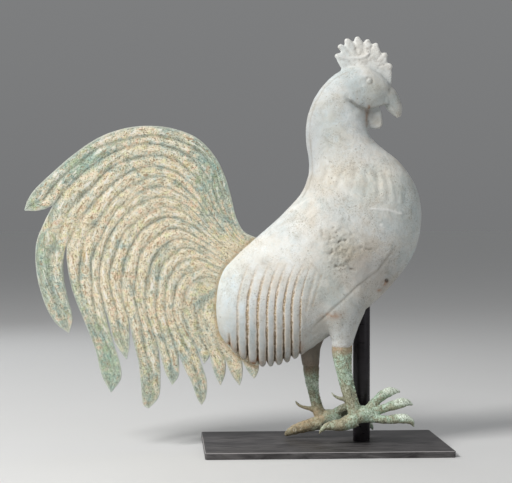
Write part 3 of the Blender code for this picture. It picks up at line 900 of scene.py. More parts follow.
@dataclass(frozen=True)
class MintVerdigris:
    """Cast copper alloy mottled with mint and pale green over olive brown."""

    olive: Colour = (0.20, 0.185, 0.12)
    moss: Colour = (0.39, 0.405, 0.29)
    mint: Colour = (0.47, 0.64, 0.50)
    pale: Colour = (0.86, 0.95, 0.83)
    khaki: Colour = (0.53, 0.54, 0.395)
    crust_stops: Stops = (
        (0.40, (0.30, 0.29, 0.24)), (0.465, (0.70, 0.70, 0.64)), (0.54, (1.0, 1.0, 1.0)))
    dark_scratch: Colour = (0.10, 0.10, 0.075)
    pale_scratch: Colour = (0.80, 0.84, 0.74)
    rust: Colour = (0.42, 0.25, 0.15)
    ochre: Colour = (0.60, 0.43, 0.25)
    dirt: Colour = (0.05, 0.045, 0.04)

    def make(self) -> Material:
        """Builds the material.

        Returns:
            The material.
        """
        paint = Paint("mint_verdigris", roughness=0.62, specular=0.45)
        broad = paint.noise(42, 5, 0.62, 0.9)
        middle = paint.noise(190, 5, 0.70, 0.4)
        grain = paint.noise(480, 3, 0.7)
        value = paint.plus(paint.spread(broad, 0.3, 0.7, 0, 0.48), paint.spread(middle, 0.3, 0.7, 0, 0.52))
        # The leg's marks add painted light to the pale colours.
        value = paint.plus(value, paint.carried("pale"))
        stops = [(0.26, self.olive), (0.42, self.moss), (0.58, self.mint), (0.88, self.pale)]
        paint.colour = paint.ramp(value, stops)
        khaki = paint.times(paint.spread(broad, 0.54, 0.42), paint.spread(value, 0.86, 0.62, 0, 0.62))
        paint.lay(self.khaki, khaki)
        paint.lay(paint.ramp(grain, self.crust_stops), 0.85, Blend.MULTIPLY)
        scratches = paint.noise(300, 3, 0.65, 0.4, paint.stretched((1.0, 1.0, 0.30)))
        paint.lay(self.dark_scratch, paint.spread(scratches, 0.40, 0.33, 0, 0.70))
        paint.lay(self.pale_scratch, paint.spread(scratches, 0.61, 0.69, 0, 0.75))
        mottle = paint.spread(middle, 0.38, 0.60, 0.25, 1.0)
        paint.lay(self.rust, paint.times(paint.carried("rust"), mottle))
        paint.lay(self.ochre, paint.times(paint.carried("ochre"), mottle))
        # Painted shade, with some soot, where the leg's marks lay it.
        paint.lay(self.dirt, paint.carried("dirt"))
        rough = paint.spread(middle, 0.35, 0.7, 0.7, 0.48)
        return paint.finish(rough, [(middle, 0.0010), (grain, 0.0005)])


@dataclass(frozen=True)
class BlackSteel:
    """Satin black painted steel with faint rubbing and dust, and a painted highlight with some rubbed wear
    along marked edges.
    """

    name: str
    black: Colour
    rubbed: Colour
    gloss: float
    dust: Colour = (0.16, 0.15, 0.14)
    wear_and_highlight: Colour = (0.42, 0.40, 0.40)

    def make(self) -> Material:
        """Builds the material.

        Returns:
            The material.
        """
        paint = Paint(self.name, roughness=self.gloss, specular=0.3)
        streak = paint.noise(22, 5, 0.6, 0.6, paint.stretched((1.0, 4.0, 4.0)))
        dust = paint.noise(520, 4, 0.75)
        paint.colour = paint.ramp(streak, [(0.35, self.black), (0.75, self.rubbed)])
        paint.lay(self.dust, paint.spread(dust, 0.66, 0.80, 0, 0.30))
        # Painted highlight, with some rubbed wear, where the mesh marks it.
        paint.lay(self.wear_and_highlight, paint.carried("wear_and_highlight"))
        rough = paint.spread(streak, 0.3, 0.7, self.gloss - 0.06, self.gloss + 0.14)
        return paint.finish(rough, [(dust, 0.00008)])


@dataclass(frozen=True)
class StudioPaper:
    """The pale floor that the object stands on."""

    paper: Colour = (0.72, 0.72, 0.715)
    unevenness: float = 0.01

    def make(self) -> Material:
        """Builds the material.

        Returns:
            The material.
        """
        paint = Paint("studio_paper", roughness=0.9, specular=0.1)
        dull = tuple((1 - self.unevenness) * part for part in self.paper)
        paint.colour = paint.ramp(paint.noise(3, 3), [(0.3, self.paper), (0.7, dull)])
        return paint.finish(None, [])


def ring_about(centre: Triple, first: Triple, second: Triple, sides: int) -> Array:
    """A ring of points about a centre.

    Args:
        centre: the ring's middle.
        first: the half axis at angle 0.
        second: the half axis at a quarter turn.
        sides: how many points it has.

    Returns:
        The points, one row each.
    """
    angles = np.linspace(0, 2 * math.pi, sides, endpoint=False)
    return centre + np.outer(np.cos(angles), first) + np.outer(np.sin(angles), second)


def flat_form(name: str, outline: Sequence[Point], half_thickness: float) -> Mesh:
    """A flat outline in the bird's middle plane with thickness and a rounded edge.

    Args:
        name: the mesh's name.
        outline: corners (x, z) in drawing units.
        half_thickness: half its thickness in drawing units.

    Returns:
        The closed mesh, in place.
    """
    rounding = half_thickness * 0.6
    curve = bpy.data.curves.new(name, "CURVE")
    curve.dimensions = "2D"
    curve.fill_mode = "BOTH"
    curve.extrude = (half_thickness - rounding) * UNIT
    curve.bevel_depth = rounding * UNIT
    curve.bevel_resolution = 3
    curve.offset = -rounding * UNIT
    spline = curve.splines.new("POLY")
    spline.points.add(len(outline) - 1)
    for point, (x, z) in zip(spline.points, outline):
        point.co = (x * UNIT, z * UNIT, 0, 1)
    spline.use_cyclic_u = True
    guide = link(name, curve)
    made = evaluated(guide)
    bpy.data.objects.remove(guide)
    flat = positions(made)
    set_positions(made, np.column_stack([flat[:, 0], -flat[:, 2], flat[:, 1]]) + FIGURE_ORIGIN)
    tidy_faces(made, merge=0.00002)
    return made


def tube(name: str, points: Sequence[Sequence[float]], side: Side, spread: float,
         swell: Callable[[Array], Array] | None = None) -> Mesh:
    """A round limb through points (x, z, out, radius) in drawing units.

    Args:
        name: the mesh's name.
        points: the limb's line and thickness.
        side: which side of the bird.
        spread: how far the limb's line lies from the middle plane.
        swell: a factor on the radius for each share of its length.

    Returns:
        The closed mesh, in place.
    """
    shares = np.linspace(0, 1, 60)
    table = curve_through(points, shares)
    line = np.column_stack([table[:, 0], side * (spread + table[:, 2]), table[:, 1]])
    along = np.gradient(line, axis=0)
    along /= np.linalg.norm(along, axis=1)[:, None]
    across = np.cross(along, np.array([0.0, 1.0, 0.0]))
    across /= np.linalg.norm(across, axis=1)[:, None]
    other = np.cross(along, across)
    radii = table[:, 3] * (swell(shares) if swell else 1.0)
    rings = [placed(ring_about(centre, first * radius, second * radius, 28))
             for centre, first, second, radius in zip(line, across, other, radii)]
    return mesh_from_rings(name, rings)


@dataclass(frozen=True)
class Spot:
    """A soft oval mark on the cast body, a stain, a painted shadow or a painted highlight, placed on the
    drawing.
    """

    stain: Stain
    at: Point
    wide: float
    tall: float
    amount: float
    both_sides: bool = False


class Relief:
    """The carving, the stains and the painted shade and highlights of a skin while they are laid on it."""

    def __init__(self, points: Array) -> None:
        """Finds where the skin's points appear on the drawing when looked at from the viewpoint.

        Args:
            points: points in metres; those of the far side are taken as their mirror images.
        """
        self.points = points
        self.true_x, self.y, self.height = drawn(points).T
        stretch = -VIEWPOINT[1] / (-VIEWPOINT[1] - np.abs(points[:, 1]))
        seen = VIEWPOINT + (points - VIEWPOINT) * stretch[:, None]
        self.x, _, self.z = drawn(seen).T
        self.near_side = self.y < 0.5
        self.grit = cloud(points, 0.005, 2, 9.3)
        self.lift = np.zeros(len(points))
        self.rise = np.zeros(len(points))
        self.stains = {stain: np.zeros(len(points)) for stain in Stain}

    def near(self, line: Sequence[Point], width: float) -> Array:
        """A hump along a line of straight stretches."""
        return hump(distance_to_line(self.x, self.z, line)[0], width)

    def spot(self, at: Point, wide: float, tall: float | None = None) -> Array:
        """A hump about a point, round unless its height is given too."""
        return np.exp(-((self.x - at[0]) / wide) ** 2 - ((self.z - at[1]) / (tall or wide)) ** 2)

    def add(self, stain: Stain, amount: Array) -> None:
        """Adds to one kind of stain, painted shade or painted highlight."""
        self.stains[stain] += amount


@dataclass
class CastBody:
    """The cast body with its head, comb, beak, wattle and thighs, and all the carving on it."""

    sections: Rows = (
        (-36.25, 33.6, -36.20, 31.9, 0.9), (-36.05, 36.2, -35.95, 29.4, 1.7),
        (-35.60, 39.3, -35.40, 27.0, 2.6), (-34.30, 42.6, -34.20, 24.9, 3.7),
        (-32.00, 45.3, -32.00, 22.2, 4.9), (-29.00, 48.2, -29.00, 20.0, 6.1),
        (-25.50, 51.2, -25.50, 18.6, 7.3), (-22.00, 54.3, -21.50, 18.8, 8.4),
        (-18.50, 57.7, -17.00, 20.4, 9.2), (-16.00, 60.3, -11.50, 24.0, 9.8),
        (-14.50, 62.6, -5.00, 28.3, 10.1), (-13.60, 65.0, 2.00, 33.5, 9.9),
        (-13.20, 67.0, 7.90, 39.5, 9.5), (-13.25, 69.0, 12.00, 44.9, 9.0),
        (-13.50, 71.0, 14.15, 51.0, 8.3), (-13.80, 73.0, 14.60, 57.0, 7.6),
        (-14.00, 75.0, 13.00, 63.5, 6.9), (-14.05, 77.0, 9.20, 69.0, 6.2),
        (-13.85, 79.0, 5.00, 72.4, 5.5), (-13.40, 81.0, 2.30, 75.0, 4.9),
        (-12.55, 83.4, 1.25, 77.3, 4.4), (-11.20, 86.0, 0.85, 79.6, 4.1),
        (-9.20, 88.6, 0.80, 81.6, 3.9), (-6.40, 91.1, 1.60, 82.5, 3.8),
        (-3.00, 92.6, 2.80, 82.9, 3.7), (0.40, 92.7, 4.10, 83.3, 3.4),
        (3.40, 91.5, 5.30, 83.8, 2.8), (5.60, 89.8, 6.30, 84.7, 2.1),
        (6.90, 88.0, 6.90, 85.9, 1.2),
    )
    roundness: float = 0.9
    right_thigh: Rows = (
        (-6.6, 38.0, 7.2, 4.3), (-6.5, 34.0, 7.0, 4.3), (-6.2, 31.4, 5.8, 4.1), (-5.9, 29.4, 4.6, 3.7),
        (-5.6, 27.4, 3.5, 3.2), (-5.6, 25.5, 2.8, 2.7), (-5.73, 23.8, 2.52, 2.5))
    left_thigh: Rows = (
        (-9.5, 37.0, 6.5, 4.0), (-10.6, 32.0, 6.0, 3.9), (-11.5, 28.0, 4.5, 3.6), (-12.3, 24.0, 3.1, 3.0),
        (-12.4, 21.0, 2.5, 2.5), (-12.2, 18.2, 2.15, 2.15))
    leg_spread: float = 5.0
    comb_focus: Point = (0.5, 91.0)
    comb_points: Line = (
        (-6.05, 95.3), (-5.4, 97.5), (-3.75, 98.95), (-1.2, 99.45), (1.3, 98.85), (3.3, 97.95), (5.55, 95.5),
        (6.8, 92.8))
    comb_valleys: Line = (
        (-5.1, 96.3), (-4.1, 97.5), (-2.0, 98.3), (0.35, 98.4), (2.4, 97.7), (4.75, 95.8), (6.1, 93.6))
    comb_point_radius: float = 0.75
    comb_back: Line = ((-3.5, 90.5), (-5.0, 91.8), (-6.2, 93.8))
    comb_front: Line = ((7.4, 91.2), (7.35, 89.6), (7.1, 87.8), (5.5, 87.0), (1.0, 89.5))
    comb_half_thickness: float = 0.66
    comb_swirl: Point = (-0.8, 96.6)
    collar_line: Line = (
        (-6.4, 95.3), (-5.4, 95.0), (-3.2, 94.75), (-0.6, 94.8), (0.9, 95.3), (1.9, 96.2))
    beak: Rows = (
        (4.6, 86.6, 2.2, 1.9), (6.1, 85.4, 2.6, 1.9), (7.1, 84.2, 2.35, 1.6), (7.98, 82.85, 2.0, 1.3),
        (8.62, 81.5, 1.45, 1.0), (9.12, 80.2, 0.55, 0.5))
    wattle: Line = (
        (1.9, 83.6), (1.35, 81.6), (1.05, 79.6), (1.2, 78.1), (1.9, 77.35), (3.1, 77.15), (4.3, 77.35),
        (5.0, 78.2), (5.05, 79.3), (4.85, 80.8), (4.55, 82.4), (4.3, 84.0))
    wattle_half_thickness: float = 0.62
    eye: Point = (1.15, 88.85)
    eye_out: float = 3.35
    eye_radius: float = 0.50
    brow: Point = (0.7, 90.1)
    grooves: tuple[float, ...] = (-36.2, -33.0, -31.0, -28.6, -26.0, -23.7, -21.7, -19.5, -17.6, -15.3)
    flute_depth: float = 0.0030
    wattle_line: Line = ((1.5, 83.2), (1.15, 81.0), (0.95, 79.4), (1.1, 78.0))
    wing_line: Line = (
        (-13.2, 27.4), (-10.2, 30.2), (-6.5, 33.5), (-4.2, 35.5), (-1.2, 38.5), (3.7, 42.2), (7.1, 46.5),
        (9.1, 49.8))
    hackle_line: Line = ((2.1, 57.6), (6.4, 57.3), (9.7, 56.3))
    seam_line: Line = (
        (-15.0, 60.5), (-13.2, 63.5), (-12.4, 67.0), (-12.7, 71.0), (-13.2, 76.0), (-12.9, 80.0),
        (-11.4, 84.2), (-9.5, 87.3), (-6.8, 89.8), (-3.5, 91.5))
    jaw_line: Line = (
        (-2.8, 84.3), (-1.2, 83.0), (0.5, 82.45), (2.5, 82.7), (4.0, 83.2), (5.0, 83.3))
    faint_grooves: tuple[Line, ...] = (
        ((-11.7, 41.5), (-13.0, 37.0), (-13.9, 32.5)), ((-10.2, 41.0), (-11.5, 37.0), (-12.4, 33.5)))
    mouth_line: Line = ((5.2, 83.7), (7.0, 83.3), (8.3, 82.0), (8.9, 81.0))
    hackle_creases: tuple[tuple[Line, float], ...] = (
        (((-7.4, 70.5), (-8.6, 68.1), (-10.4, 63.2)), 0.0012),
        (((-4.4, 68.5), (-5.5, 65.0), (-7.1, 61.5)), 0.0009),
        (((-1.3, 69.3), (-1.9, 65.7), (-2.8, 61.5)), 0.0007),
        (((1.1, 68.5), (1.1, 63.8), (0.4, 59.0)), 0.0008),
        (((3.3, 68.2), (4.1, 63.2), (3.8, 59.0)), 0.0011),
        (((5.3, 67.6), (6.6, 62.6), (6.6, 58.8)), 0.0010),
        (((7.2, 66.0), (8.7, 61.4), (9.0, 58.4)), 0.0008),
    )
    wing_dents: tuple[tuple[Line, float], ...] = (
        (((-10.1, 52.6), (-9.95, 50.8), (-9.4, 49.6), (-7.9, 50.1)), 0.0007),
        (((-7.2, 52.9), (-6.5, 51.8)), 0.0010),
        (((-6.3, 49.0), (-5.2, 49.9), (-4.2, 49.8), (-2.7, 51.4)), 0.0010),
        (((-9.0, 47.7), (-7.8, 48.0), (-7.2, 47.1), (-8.0, 46.4)), 0.0006),
        (((-0.6, 48.0), (1.6, 47.4), (3.4, 47.5)), 0.0009),
        (((-7.4, 44.1), (-6.5, 43.3), (-4.5, 43.5)), 0.0012),
        (((-3.9, 44.4), (-2.9, 42.7), (-1.8, 42.3)), 0.0011),
    )
    voxel: float = 0.00192
    creases_cut: float = 0.58
    dents_cut: float = 1.3
    lumps: tuple[tuple[Point, float, float], ...] = (
        ((-30.3, 41.2), 0.42, 0.0013), ((-29.7, 40.3), 0.40, -0.0006), ((6.1, 39.7), 0.46, -0.0030))
    drip: Line = ((3.9, 37.2), (4.6, 37.7))
    pitted_patch: tuple[Point, float, float] = ((-5.5, 47.8), 4.6, 5.6)
    peppered_patches: tuple[tuple[Point, float, float], ...] = (
        ((-4.0, 67.0), 5.0, 3.5), ((4.0, 67.5), 3.0, 3.0))
    spots: tuple[Spot, ...] = (
        # Painted shadow below and right of the nub.
        Spot(Stain.GRIME, (-29.8, 40.4), 0.30, 0.30, 0.35),
        # Painted shade in the hole.
        Spot(Stain.GRIME, (6.1, 39.7), 0.50, 0.50, 1.8),
        Spot(Stain.RUST, (5.4, 39.0), 0.8, 0.8, 0.6),
        Spot(Stain.RUST, (4.2, 37.4), 0.7, 0.4, 0.5),
        Spot(Stain.RUST, (-27.0, 19.2), 1.9, 0.7, 0.9, both_sides=True),
        Spot(Stain.RUST, (-7.5, 31.0), 2.6, 0.8, 0.60),
        Spot(Stain.RUST, (-33.2, 23.4), 1.2, 1.3, 0.55, both_sides=True),
        Spot(Stain.RUST, (-30.7, 21.3), 0.9, 1.0, 0.5, both_sides=True),
        Spot(Stain.RUST, (-15.0, 22.7), 0.8, 1.6, 0.4, both_sides=True),
        Spot(Stain.DIRT, (-32.5, 23.0), 1.6, 1.1, 0.6, both_sides=True),
        Spot(Stain.DIRT, (-29.5, 21.0), 0.6, 0.8, 0.4, both_sides=True),
        Spot(Stain.BARE, (4.7, 53.5), 0.36, 0.36, 0.8),
        Spot(Stain.BARE, (4.7, 53.6), 0.5, 0.5, 0.35),
        Spot(Stain.BARE, (-8.7, 69.0), 0.45, 0.7, 0.8),
        # Painted highlight on the brow.
        Spot(Stain.BARE, (0.9, 90.6), 1.0, 0.35, 0.35, both_sides=True),
    )
    # Painted light and shade with some real tone, as soft ovals (centre, width, height, colour factor): the
    # darker ovals on the breast, belly, lower lobes, beak and wattle are painted shade, the lighter ones on
    # the back, neck and comb painted light, and the bluish rump, cheek and neck and the pitted patch are the
    # metal's own tone.
    shading_and_tone_washes: tuple[tuple[Point, float, float, Colour], ...] = (
        ((12.0, 54.0), 6.0, 14.0, (0.86, 0.90, 0.91)),
        ((8.0, 40.0), 8.0, 7.0, (0.70, 0.68, 0.67)),
        ((0.0, 44.0), 4.5, 5.0, (0.86, 0.83, 0.82)),
        ((-4.0, 31.0), 8.0, 6.0, (0.70, 0.72, 0.73)),
        ((-22.0, 24.5), 12.0, 9.5, (0.63, 0.645, 0.655)),
        ((-33.0, 38.0), 6.0, 9.0, (1.06, 1.16, 1.24)),
        ((-32.5, 26.5), 4.0, 5.0, (0.86, 0.89, 0.90)),
        ((-21.0, 48.0), 9.0, 5.0, (1.12, 1.13, 1.13)),
        ((-13.0, 74.0), 3.0, 12.0, (0.80, 0.80, 0.82)),
        ((5.7, 66.0), 4.0, 4.0, (1.18, 1.14, 1.09)),
        ((-4.5, 66.0), 4.5, 3.5, (1.12, 1.10, 1.06)),
        ((-14.0, 56.0), 5.0, 5.0, (1.10, 1.08, 1.05)),
        ((-5.0, 47.5), 5.5, 5.5, (0.86, 0.84, 0.77)),
        ((-9.0, 38.0), 9.0, 6.0, (0.96, 0.92, 0.86)),
        ((3.0, 62.0), 8.0, 7.0, (1.06, 1.03, 0.97)),
        ((-12.0, 62.0), 5.0, 6.0, (0.98, 0.96, 0.92)),
        ((-9.0, 78.0), 6.0, 9.0, (0.80, 0.86, 0.89)),
        ((2.0, 86.5), 5.0, 4.0, (0.82, 0.86, 0.86)),
        ((7.5, 83.5), 3.0, 4.0, (0.70, 0.71, 0.70)),
        ((3.0, 79.5), 2.6, 3.0, (0.72, 0.74, 0.75)),
        ((0.5, 96.0), 7.0, 3.5, (1.06, 1.05, 1.02)),
    )
    # Painted shade, with some soot, on the far thigh under the body.
    soot_and_shade: Colour = (0.42, 0.34, 0.28)

    def shell(self) -> Mesh:
        """The bird from rump to face as one smooth loft.

        Returns:
            The closed mesh, in place.
        """
        angles = np.linspace(0, 2 * math.pi, 72, endpoint=False)
        share = (1 + np.cos(angles)) / 2
        across = np.sign(np.sin(angles)) * np.abs(np.sin(angles)) ** self.roundness
        rings = []
        for back_x, back_z, belly_x, belly_z, half in loft_rows(self.sections, 170):
            ring = np.column_stack([belly_x + (back_x - belly_x) * share, half * across,
                                    belly_z + (back_z - belly_z) * share])
            rings.append(placed(ring))
        return mesh_from_rings("shell", rings)

    def outline(self) -> Array:
        """The shell's outline seen from the side, in drawing units."""
        table = loft_rows(self.sections, 90)
        return np.vstack([table[:, :2], table[::-1, 2:4]])

    def thigh(self, sections: Rows, side: Side) -> Mesh:
        """One thigh, from inside the belly to its flat end above the leg.

        Args:
            sections: its rings as (x, z, half length, half width) in drawing units.
            side: which side of the bird.

        Returns:
            The closed mesh, in place.
        """
        rings = []
        for x, z, along, across in loft_rows(sections, 26):
            centre = (x, side * self.leg_spread, z)
            rings.append(placed(ring_about(centre, (along, 0, 0), (0, across, 0), 40)))
        rings[-1][:, 2] -= 0.0005
        return mesh_from_rings("thigh", rings)

    def beak_form(self) -> Mesh:
        """The hooked beak, its rings square to its own curve.

        Returns:
            The closed mesh, in place.
        """
        table = loft_rows(self.beak, 24)
        runs = np.gradient(table[:, :2], axis=0)
        runs /= np.linalg.norm(runs, axis=1)[:, None]
        rings = []
        for (x, z, tall, wide), (run_x, run_z) in zip(table, runs):
            upward = (-run_z * tall, 0, run_x * tall)
            rings.append(placed(ring_about((x, 0, z), upward, (0, wide, 0), 28)))
        return mesh_from_rings("beak", rings)

    def comb_outline(self) -> list[Point]:
        """The comb's edge: a rounded point on each ray from the focus, with valleys between them.

        Returns:
            The edge's corners in drawing units.
        """
        outline = list(self.comb_back)
        for number, (x, z) in enumerate(self.comb_points):
            ray = math.atan2(z - self.comb_focus[1], x - self.comb_focus[0])
            for turn in range(80, -81, -20):
                angle = ray + math.radians(turn)
                outline.append((x + self.comb_point_radius * math.cos(angle),
                                z + self.comb_point_radius * math.sin(angle)))
            if number < len(self.comb_valleys):
                outline.append(self.comb_valleys[number])
        return outline + list(self.comb_front)

    def eye_form(self, side: Side) -> Mesh:
        """The bead of one eye.

        Args:
            side: which side of the bird.

        Returns:
            The closed mesh, in place.
        """
        built = bmesh.new()
        bmesh.ops.create_uvsphere(built, u_segments=24, v_segments=16, radius=self.eye_radius * UNIT)
        centre = placed(np.array([self.eye[0], side * self.eye_out, self.eye[1]]))
        bmesh.ops.translate(built, verts=built.verts, vec=Vector(centre))
        return baked("eye", built)

    def melt_thighs(self, made: Thing) -> None:
        """Smooths the skin where the thighs leave the belly.

        Args:
            made: the body with its even skin.
        """
        x, y, z = drawn(positions(made.data)).T
        right = smoothstep(26.5, 29.5, z) * (1 - smoothstep(41, 45, z)) * (y < -0.5)
        right *= smoothstep(-17.5, -14.0, x) * (1 - smoothstep(2.5, 6.0, x))
        left = smoothstep(20.5, 23.0, z) * (1 - smoothstep(40, 44, z)) * (y > 0.5)
        left *= smoothstep(-20.0, -16.5, x) * (1 - smoothstep(-3.5, 0.5, x))
        weights = np.clip(right + left, 0, 1)
        group = made.vertex_groups.new(name="melt")
        for index in np.nonzero(weights > 0.01)[0]:
            group.add([int(index)], float(weights[index]), "REPLACE")
        soften = made.modifiers.new("melt", "SMOOTH")
        soften.factor = 0.5
        soften.iterations = 110
        soften.vertex_group = "melt"
        settled(made)
        made.vertex_groups.clear()

    def flutes(self, x: Array, z: Array) -> tuple[Array, Array, Array]:
        """Where points lie on the rump's flutes.

        Args:
            x: drawing positions across.
            z: drawing heights.

        Returns:
            Each point's place from its flute's middle (0) to a groove (1), how full the flutes are there, and
            the count of grooves passed, with its fraction.
        """
        upright = x - 0.02 * np.maximum(0, z - 32) ** 2
        edges = np.array(self.grooves)
        number = np.clip(np.searchsorted(edges, upright) - 1, 0, len(edges) - 2)
        left, right = edges[number], edges[number + 1]
        offset = np.abs(2 * (upright - left) / (right - left) - 1)
        within = (upright >= edges[0] - 0.6) & (upright <= edges[-1]) & (z < 52)
        full = (1 - smoothstep(32.5, 44.0, z)) * within
        nearest = np.abs(upright[:, None] - edges[None]).argmin(1)
        full = np.where(nearest <= 1, full * (1 - smoothstep(23, 27, z)), full)
        full = np.where(nearest == 2, full * (1 - 0.80 * smoothstep(22, 29, z)), full)
        phase = number + np.clip((upright - left) / (right - left), 0, 1)
        return np.clip(offset, 0, 1), full, phase

    def carve_flutes(self, skin: Relief, mesh: Mesh) -> None:
        """Cuts the rump's flutes and stores where they run.

        Args:
            skin: the carving so far.
            mesh: the body's skin.
        """
        offset, full, phase = self.flutes(skin.x, skin.z)
        fall = 1 - np.sqrt(np.maximum(0, 1 - offset**2.6))
        skin.lift -= self.flute_depth * fall * full
        skin.rise += 2.2 * UNIT * fall * full * (1 - smoothstep(20, 26, skin.height))
        reach = (1 - smoothstep(38, 48, skin.z)) * (full > 0)
        mark(mesh, "flute", phase)
        mark(mesh, "fluted", np.clip(0.75 * full + 0.35 * reach, 0, 1))
        # Where the grooves get their painted shadow: the flutes' lower part.
        mark(mesh, "low", 1 - smoothstep(23, 33, skin.z))

    def carve_wing(self, skin: Relief) -> None:
        """Cuts the wing's edge, its cracks and dents, and the faint grooves below it, with painted shade in
        the edge's crease and in the dents.

        Args:
            skin: the carving so far.
        """
        apart, side, along = distance_to_line(skin.x, skin.z, self.wing_line)
        ends = smoothstep(0.0, 0.10, along) * (1 - smoothstep(0.85, 1.0, along))
        skin.lift += (0.0006 * np.exp(-apart / 1.8) * (side > 0) - 0.0009 * hump(apart, 0.38)) * ends
        # Painted shade along the wing's crease.
        skin.add(Stain.GRIME, 0.42 * hump(apart, 0.24) * ends)
        rough = (0.4 + 0.9 * smoothstep(-0.3, 0.4, skin.grit)) * skin.near_side
        for dent, depth in self.wing_dents:
            apart, _, _ = distance_to_line(skin.x, skin.z, dent)
            cut = 0.20 * hump(apart - 0.6, 0.4) - hump(apart, 0.34)
            skin.lift += self.dents_cut * depth * cut * rough
            # Painted shade in the dents.
            skin.add(Stain.GRIME, 480 * depth * hump(apart, 0.24) * rough)
        for groove in self.faint_grooves:
            skin.lift -= 0.0007 * skin.near(groove, 0.34)
            skin.add(Stain.DIRT, 0.42 * skin.near(groove, 0.26))

    def carve_neck(self, skin: Relief) -> None:
        """Raises the hackle's edge on the breast with a painted highlight along it, and cuts the hackle's
        creases with painted shade in them, and the seam.

        Args:
            skin: the carving so far.
        """
        skin.lift += 0.0008 * skin.near(self.hackle_line, 0.42)
        # Painted highlight along the hackle's raised edge.
        skin.add(Stain.BARE, 0.85 * skin.near(self.hackle_line, 0.26))
        for crease, depth in self.hackle_creases:
            apart, _, along = distance_to_line(skin.x, skin.z, crease)
            ends = smoothstep(0, 0.25, along) * (1 - smoothstep(0.75, 1, along))
            cut = 0.5 * hump(apart - 1.0, 0.6) - hump(apart, 0.60)
            skin.lift += self.creases_cut * depth * cut * ends
            # Painted shade in the creases.
            skin.add(Stain.GRIME, 115 * depth * hump(apart, 0.44) * ends)
        skin.lift -= 0.0005 * skin.near(self.seam_line, 0.28)
        skin.add(Stain.GRIME, 0.34 * skin.near(self.seam_line, 0.20))

    def carve_head(self, skin: Relief) -> None:
        """Cuts the jaw, the mouth, the wattle's edge and the eye's rim with painted shadow and shade in them,
        and raises the brow.

        Args:
            skin: the carving so far.
        """
        apart, side, _ = distance_to_line(skin.x, skin.z, self.jaw_line)
        head = (skin.height > 79.5) & (skin.true_x < 6.2) & (np.abs(skin.y) < 5)
        step = 0.0028 * np.exp(-apart / 2.2) * (side > 0) - 0.0038 * hump(apart, 1.1) * (side <= 0)
        skin.lift += step * head - 0.0004 * skin.near(self.mouth_line, 0.20)
        # Painted shadow under the jaw and painted shade in the mouth's line.
        skin.add(Stain.GRIME, 0.48 * hump(apart, 0.42) * head + 0.25 * skin.near(self.mouth_line, 0.20))
        middle = np.abs(skin.y) < 3.5
        skin.add(Stain.RUST, 0.55 * skin.near(self.wattle_line, 0.30) * middle)
        # Painted shade in the gap between the wattle and the neck.
        skin.add(Stain.GRIME, 0.30 * skin.near(self.wattle_line, 0.22) * middle)
        skin.lift += 0.0011 * skin.spot(self.brow, 1.2, 0.42)
        around = np.hypot(skin.true_x - self.eye[0] - 0.1, skin.height - self.eye[1])
        skin.lift -= 0.0008 * hump(around - 0.85, 0.25) * (skin.height > 87)
        # Painted shade in the eye's rim.
        skin.add(Stain.GRIME, 0.34 * hump(around - 0.78, 0.2) * (skin.height > 87))

    def carve_comb(self, skin: Relief) -> None:
        """Cuts the comb between its points with painted shade in the valleys, raises the collar below it with
        a painted highlight along it, pales the comb and peppers it with grit.

        Args:
            skin: the carving so far.
        """
        comb = smoothstep(92.4, 93.2, skin.height + 0.12 * np.abs(skin.true_x)) * (np.abs(skin.y) < 1.2)
        for valley in self.comb_valleys:
            reach = [valley, tuple(0.68 * np.array(valley) + 0.32 * np.array(self.comb_focus))]
            skin.lift -= 0.0011 * skin.near(reach, 0.26) * comb
            # Painted shade in the valleys.
            skin.add(Stain.GRIME, 0.22 * skin.near(reach, 0.16) * comb)
        skin.lift += 0.0017 * skin.near(self.collar_line, 0.30) * comb
        # A paler comb, with a painted highlight along the collar.
        skin.add(Stain.BARE, (0.34 + 0.45 * skin.near(self.collar_line, 0.24)) * comb)
        swirl = hump(np.hypot(skin.x - self.comb_swirl[0], skin.z - self.comb_swirl[1]) - 0.8, 0.3)
        skin.lift -= 0.0007 * swirl * comb
        # Painted shade in the swirl's groove.
        skin.add(Stain.GRIME, 0.25 * swirl * comb)
        patches = 0.5 * sum(skin.spot(*patch) for patch in self.peppered_patches)
        skin.add(Stain.GRIME, 0.45 * smoothstep(0.18, 0.42, skin.grit) * (comb + patches))

    def wear(self, skin: Relief) -> None:
        """Lays the single lumps and stains, the wing's pitted patch and the casting's slight waves.

        Args:
            skin: the carving so far.
        """
        for at, wide, height in self.lumps:
            skin.lift += height * skin.spot(at, wide) * skin.near_side
        for spot in self.spots:
            amount = spot.amount * skin.spot(spot.at, spot.wide, spot.tall)
            skin.add(spot.stain, amount if spot.both_sides else amount * skin.near_side)
        skin.add(Stain.GRIME, 0.5 * skin.near(self.drip, 0.25) * skin.near_side)
        wear_and_highlight = skin.spot(*self.pitted_patch) * skin.near_side
        pits = 0.0014 * cloud(skin.points, 0.010, 3, 3.1) - 0.0011 * smoothstep(0.05, 0.35, skin.grit)
        skin.lift += wear_and_highlight * pits
        skin.add(Stain.GRIME, 0.24 * wear_and_highlight * smoothstep(0.10, 0.40, skin.grit))
        skin.lift += 0.0007 * cloud(skin.points, 0.060, 2, 1.3)
        skin.lift += 0.00025 * cloud(skin.points, 0.012, 3, 5.2)
        cuff = (1 - smoothstep(23.9, 24.5, skin.height)) * (np.abs(skin.true_x + 5.7) < 4)
        skin.add(Stain.RUST, 0.3 * cuff * (skin.height > 22))

    def shading_and_tone(self, skin: Relief) -> Array:
        """The broad painted light and shade over the body, with some of the metal's own tone.

        Args:
            skin: the carving so far.

        Returns:
            A colour to multiply by, one row for each point.
        """
        shading_and_tone = np.ones((len(skin.points), 3))
        for at, wide, tall, colour in self.shading_and_tone_washes:
            shading_and_tone *= 1 + (np.array(colour) - 1) * skin.spot(at, wide, tall)[:, None]
